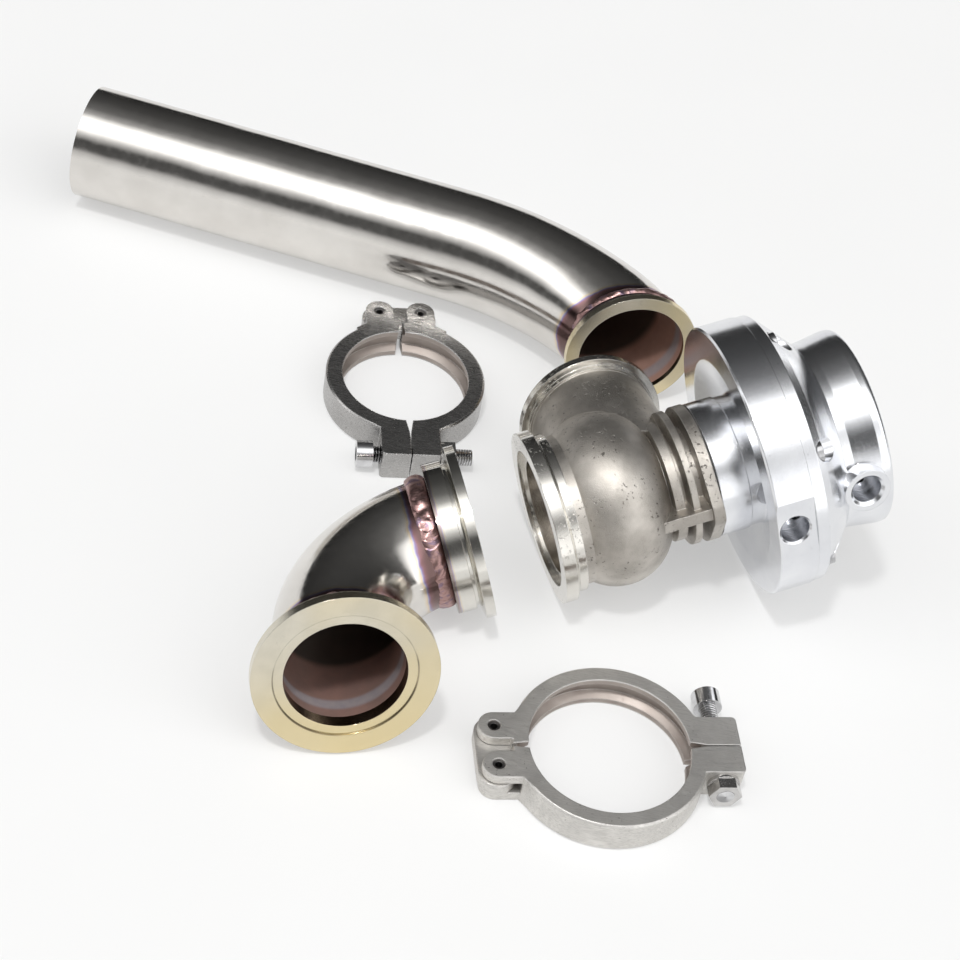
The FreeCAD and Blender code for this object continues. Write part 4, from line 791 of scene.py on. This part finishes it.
def make_bead(name, weld, body, seed):
    """A hand-laid bead round the tube, its ripples overlapping like leaned coins."""
    rim = weld.rim
    mesh = bmesh.new()
    start = rim.back(weld.start)
    loops = []
    for step in range(BEAD_STEPS):
        turn = step / BEAD_STEPS
        angle = turn * FULL_TURN
        outward = rim.side * math.cos(angle) + rim.over * math.sin(angle)
        wander = noise.noise(outward * 2.2 + Vector((seed, 0, 0)))
        loop = []
        for row in range(BEAD_ROWS + 1):
            share = row / BEAD_ROWS
            bow = 4 * (share - 0.5) ** 2
            spot = turn * weld.ripples + bow * 0.7 + wander * 2.6
            ripple = 1 - (spot % 1.0)
            crown = math.sqrt(max(0.0, 1 - (2 * share - 1) ** 2))
            lump = noise.noise(outward * 7.0 + Vector((0, seed, 1.6 * share)))
            full = BEAD_PLAIN + BEAD_RIPPLED * ripple + BEAD_LUMPED * lump
            rise = weld.height * crown * full
            back = weld.width * share + BEAD_DRIFT * wander * crown
            radius = TUBE_RADIUS - BEAD_SUNK + rise
            loop.append(mesh.verts.new(start.point - rim.axis * back + outward * radius))
        loops.append(loop)
    for first, second in zip(loops, loops[1:] + loops[:1]):
        for row in range(BEAD_ROWS):
            mesh.faces.new((first[row], second[row], second[row + 1], first[row + 1]))
        mesh.faces.new((first[0], first[-1], second[-1], second[0]))
    bmesh.ops.recalc_face_normals(mesh, faces=mesh.faces)
    bead = add_object(name, mesh, weld_finish(f"{name}_finish", weld))
    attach(bead, body)
    return bead


BEADS = (
    ("elbow_small_bead", SMALL_WELD, "elbow", "elbow_small_weld"),
    ("elbow_large_bead", LARGE_WELD, "elbow", "elbow_large_weld"),
    ("dump_bead", DUMP_WELD, "dump_pipe", "dump_weld"),
)
for place, (name, weld, body, stands_for) in enumerate(BEADS):
    bead = make_bead(name, weld, body, place * 3.7)
    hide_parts(stands_for)
    dress(bead.data.materials[0], stands_for)


# ---------------------------------------------------------------- springs

COIL_STEPS_A_TURN, COIL_SIDES = 48, 14
# turns at each end of a coil that lie flat
CLOSED_TURNS = 0.75


def make_coil(name, node, wire, turns):
    """A round-wire spring with closed ends."""
    origin, axis = VALVE_INLET.point, -VALVE_INLET.axis
    spots = [vertex.co - origin for vertex in nodes[node].data.vertices]
    stations = [spot.dot(axis) for spot in spots]
    low, high = min(stations), max(stations)
    outside = max(spot.cross(axis).length for spot in spots)
    thick, mean = wire / 2, outside - wire / 2
    steps = int(turns * COIL_STEPS_A_TURN)
    mesh = bmesh.new()
    loops = []
    for step in range(steps + 1):
        share = step / steps
        climb = (share * turns - CLOSED_TURNS) / (turns - 2 * CLOSED_TURNS)
        station = low + thick + (high - low - wire) * min(1.0, max(0.0, climb))
        angle = share * turns * FULL_TURN
        outward = VALVE_INLET.side * math.cos(angle) + VALVE_INLET.over * math.sin(angle)
        centre = origin + axis * station + outward * mean
        loops.append([
            mesh.verts.new(
                centre
                + outward * (thick * math.cos(FULL_TURN * side / COIL_SIDES))
                + axis * (thick * math.sin(FULL_TURN * side / COIL_SIDES))
            )
            for side in range(COIL_SIDES)
        ])
    for first, second in zip(loops, loops[1:]):
        for side in range(COIL_SIDES):
            after = (side + 1) % COIL_SIDES
            mesh.faces.new((first[side], first[after], second[after], second[side]))
    mesh.faces.new(loops[0])
    mesh.faces.new(loops[-1])
    bmesh.ops.recalc_face_normals(mesh, faces=mesh.faces)
    coil = add_object(name, mesh, nodes[node].data.materials[0])
    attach(coil, "wastegate")
    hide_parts(node)
    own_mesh(coil)


make_coil("outer_coil", "outer_spring", 3.6 * MM, 5.5)
make_coil("inner_coil", "inner_spring", 2.6 * MM, 7.5)


# ---------------------------------------------------------------- surface, light, camera

# the floor: its front and back edges, half its width, and how far below the object
FLOOR_NEAR, FLOOR_FAR, FLOOR_HALF, FLOOR_DROP = -0.55, 0.46, 0.85, 0.0002
FLOOR_COLUMNS, FLOOR_ROWS = 30, 20
# how much of the floor's own shade is lifted to white, where it is seen directly, in
# metal or through glass
FLOOR_LIFT = 0.42
FLOOR_WHITE = (0.975, 0.975, 0.972)


def floor_finish():
    """A pale sheet, its shade and shadows lifted part of the way to white."""
    finish = Finish("floor_white", metallic=0.0)
    finish.set(
        Base_Color=finish.tones(
            finish.noise(120 * MM, 2), (0.845, 0.845, 0.84), (0.86, 0.86, 0.855)),
        Roughness=finish.fade(finish.noise(2 * MM, 3), 0.3, 0.7, 0.85, 0.95),
        Normal=finish.bump(finish.noise(0.5 * MM, 3), 0.004 * MM),
    )
    finish.shader.inputs["Specular IOR Level"].default_value = 0.1
    white = finish.node("ShaderNodeEmission")
    finish.put(white.inputs["Color"], FLOOR_WHITE)
    rays = finish.node("ShaderNodeLightPath").outputs
    seen = finish.most(
        rays["Is Camera Ray"], rays["Is Glossy Ray"], rays["Is Transmission Ray"])
    mixed = finish.node("ShaderNodeMixShader")
    finish.put(mixed.inputs["Fac"], finish.maths("MULTIPLY", seen, FLOOR_LIFT))
    finish.put(mixed.inputs[1], finish.shader.outputs[0])
    finish.put(mixed.inputs[2], white.outputs[0])
    finish.put(finish.tree.nodes["Material Output"].inputs["Surface"], mixed.outputs[0])
    return finish.material


def make_floor():
    """A white sheet, only as deep as the view, so that tubes see the dark room beyond it."""
    mesh = bmesh.new()
    grid = [
        [
            mesh.verts.new((
                -FLOOR_HALF + 2 * FLOOR_HALF * column / FLOOR_COLUMNS,
                FLOOR_NEAR + (FLOOR_FAR - FLOOR_NEAR) * row / FLOOR_ROWS,
                -FLOOR_DROP,
            ))
            for column in range(FLOOR_COLUMNS + 1)
        ]
        for row in range(FLOOR_ROWS + 1)
    ]
    for near, far in zip(grid, grid[1:]):
        for column in range(FLOOR_COLUMNS):
            mesh.faces.new((near[column], near[column + 1], far[column + 1], far[column]))
    floor = add_object("floor", mesh, floor_finish(), smooth=False)


# the room by the angle of a direction, from the horizon in front of the object over
# the top to the horizon behind it: share of a half turn, and brightness
ROOM = (
    (0.00, 0.60),
    (0.07, 0.40),
    (0.12, 0.06),
    (0.22, 0.05),
    (0.29, 0.50),
    (0.36, 1.30),
    (0.47, 1.20),
    (0.54, 0.30),
    (0.62, 0.10),
    (0.75, 0.045),
    (1.00, 0.012),
)
ROOM_STRENGTH = 1.56
# a pale wall to the right, in front: where it starts and is full, along the direction's
# x, and where it starts to end and is gone, as a share of the half turn
FILL_START, FILL_END = 0.30, 0.50
FRONT_START, FRONT_END = 0.50, 0.62
FILL_LEVEL = 0.95


def make_room():
    """A dark room with a broad light overhead and a pale wall to the right."""
    world = bpy.data.worlds.new("room")
    world.use_nodes = True
    bpy.context.scene.world = world
    room = Nodes(world.node_tree)
    room.tree.nodes.clear()
    split = room.node("ShaderNodeSeparateXYZ")
    room.put(split.inputs[0], room.node("ShaderNodeTexCoord").outputs["Generated"])
    toward = room.maths("MULTIPLY", split.outputs["Y"], -1.0)
    angle = room.maths("ARCTAN2", split.outputs["Z"], toward)
    share = room.maths("DIVIDE", angle, math.pi, clamp=True)
    base = room.ramp(share, [(position, (level,) * 3) for position, level in ROOM])
    wall = room.maths(
        "MULTIPLY",
        room.fade(split.outputs["X"], FILL_START, FILL_END),
        room.fade(share, FRONT_START, FRONT_END, 1.0, 0.0),
    )
    background = room.node("ShaderNodeBackground")
    background.inputs["Strength"].default_value = ROOM_STRENGTH
    lit = room.blend(wall, base, (FILL_LEVEL,) * 3, "LIGHTEN")
    room.put(background.inputs["Color"], lit)
    output = room.node("ShaderNodeOutputWorld")
    room.put(output.inputs["Surface"], background.outputs[0])


# the middle of the view on the floor, and the one lamp
CENTRE = Vector((0.01946, 0.00576, 0.0))
KEY_PLACE, KEY_SIZE, KEY_POWER = Vector((-0.26, -0.70, 2.05)), 0.2, 15.4
# the camera: from the middle of the view, the way it looks, its right, and its lens
CAMERA_OFFSET = Vector((0.0, -0.62690, 0.64017))
CAMERA_VIEW = Vector((0.0, 0.69966, -0.71447))
CAMERA_RIGHT = Vector((0.97992, 0.14244, 0.13949))
LENS_MM, SENSOR_MM = 90.41, 36.0


def make_lamp():
    data = bpy.data.lights.new("key", "AREA")
    data.shape = "DISK"
    data.size = KEY_SIZE
    data.energy = KEY_POWER
    lamp = bpy.data.objects.new("key", data)
    lamp.location = KEY_PLACE
    lamp.rotation_euler = (CENTRE - KEY_PLACE).to_track_quat("-Z", "Y").to_euler()
    bpy.context.scene.collection.objects.link(lamp)


def make_camera():
    """Above and in front, looking down at half a right angle, and rolled a little."""
    view = CAMERA_VIEW.normalized()
    up = CAMERA_RIGHT.normalized().cross(view).normalized()
    right = view.cross(up)
    data = bpy.data.cameras.new("camera")
    data.lens = LENS_MM
    data.sensor_width = SENSOR_MM
    camera = bpy.data.objects.new("camera", data)
    turn = Matrix((right, up, -view)).transposed()
    camera.matrix_world = Matrix.Translation(CENTRE + CAMERA_OFFSET) @ turn.to_4x4()
    bpy.context.scene.collection.objects.link(camera)
    bpy.context.scene.camera = camera


make_floor()
make_room()
make_lamp()
make_camera()
bpy.context.scene.view_settings.view_transform = "Standard"
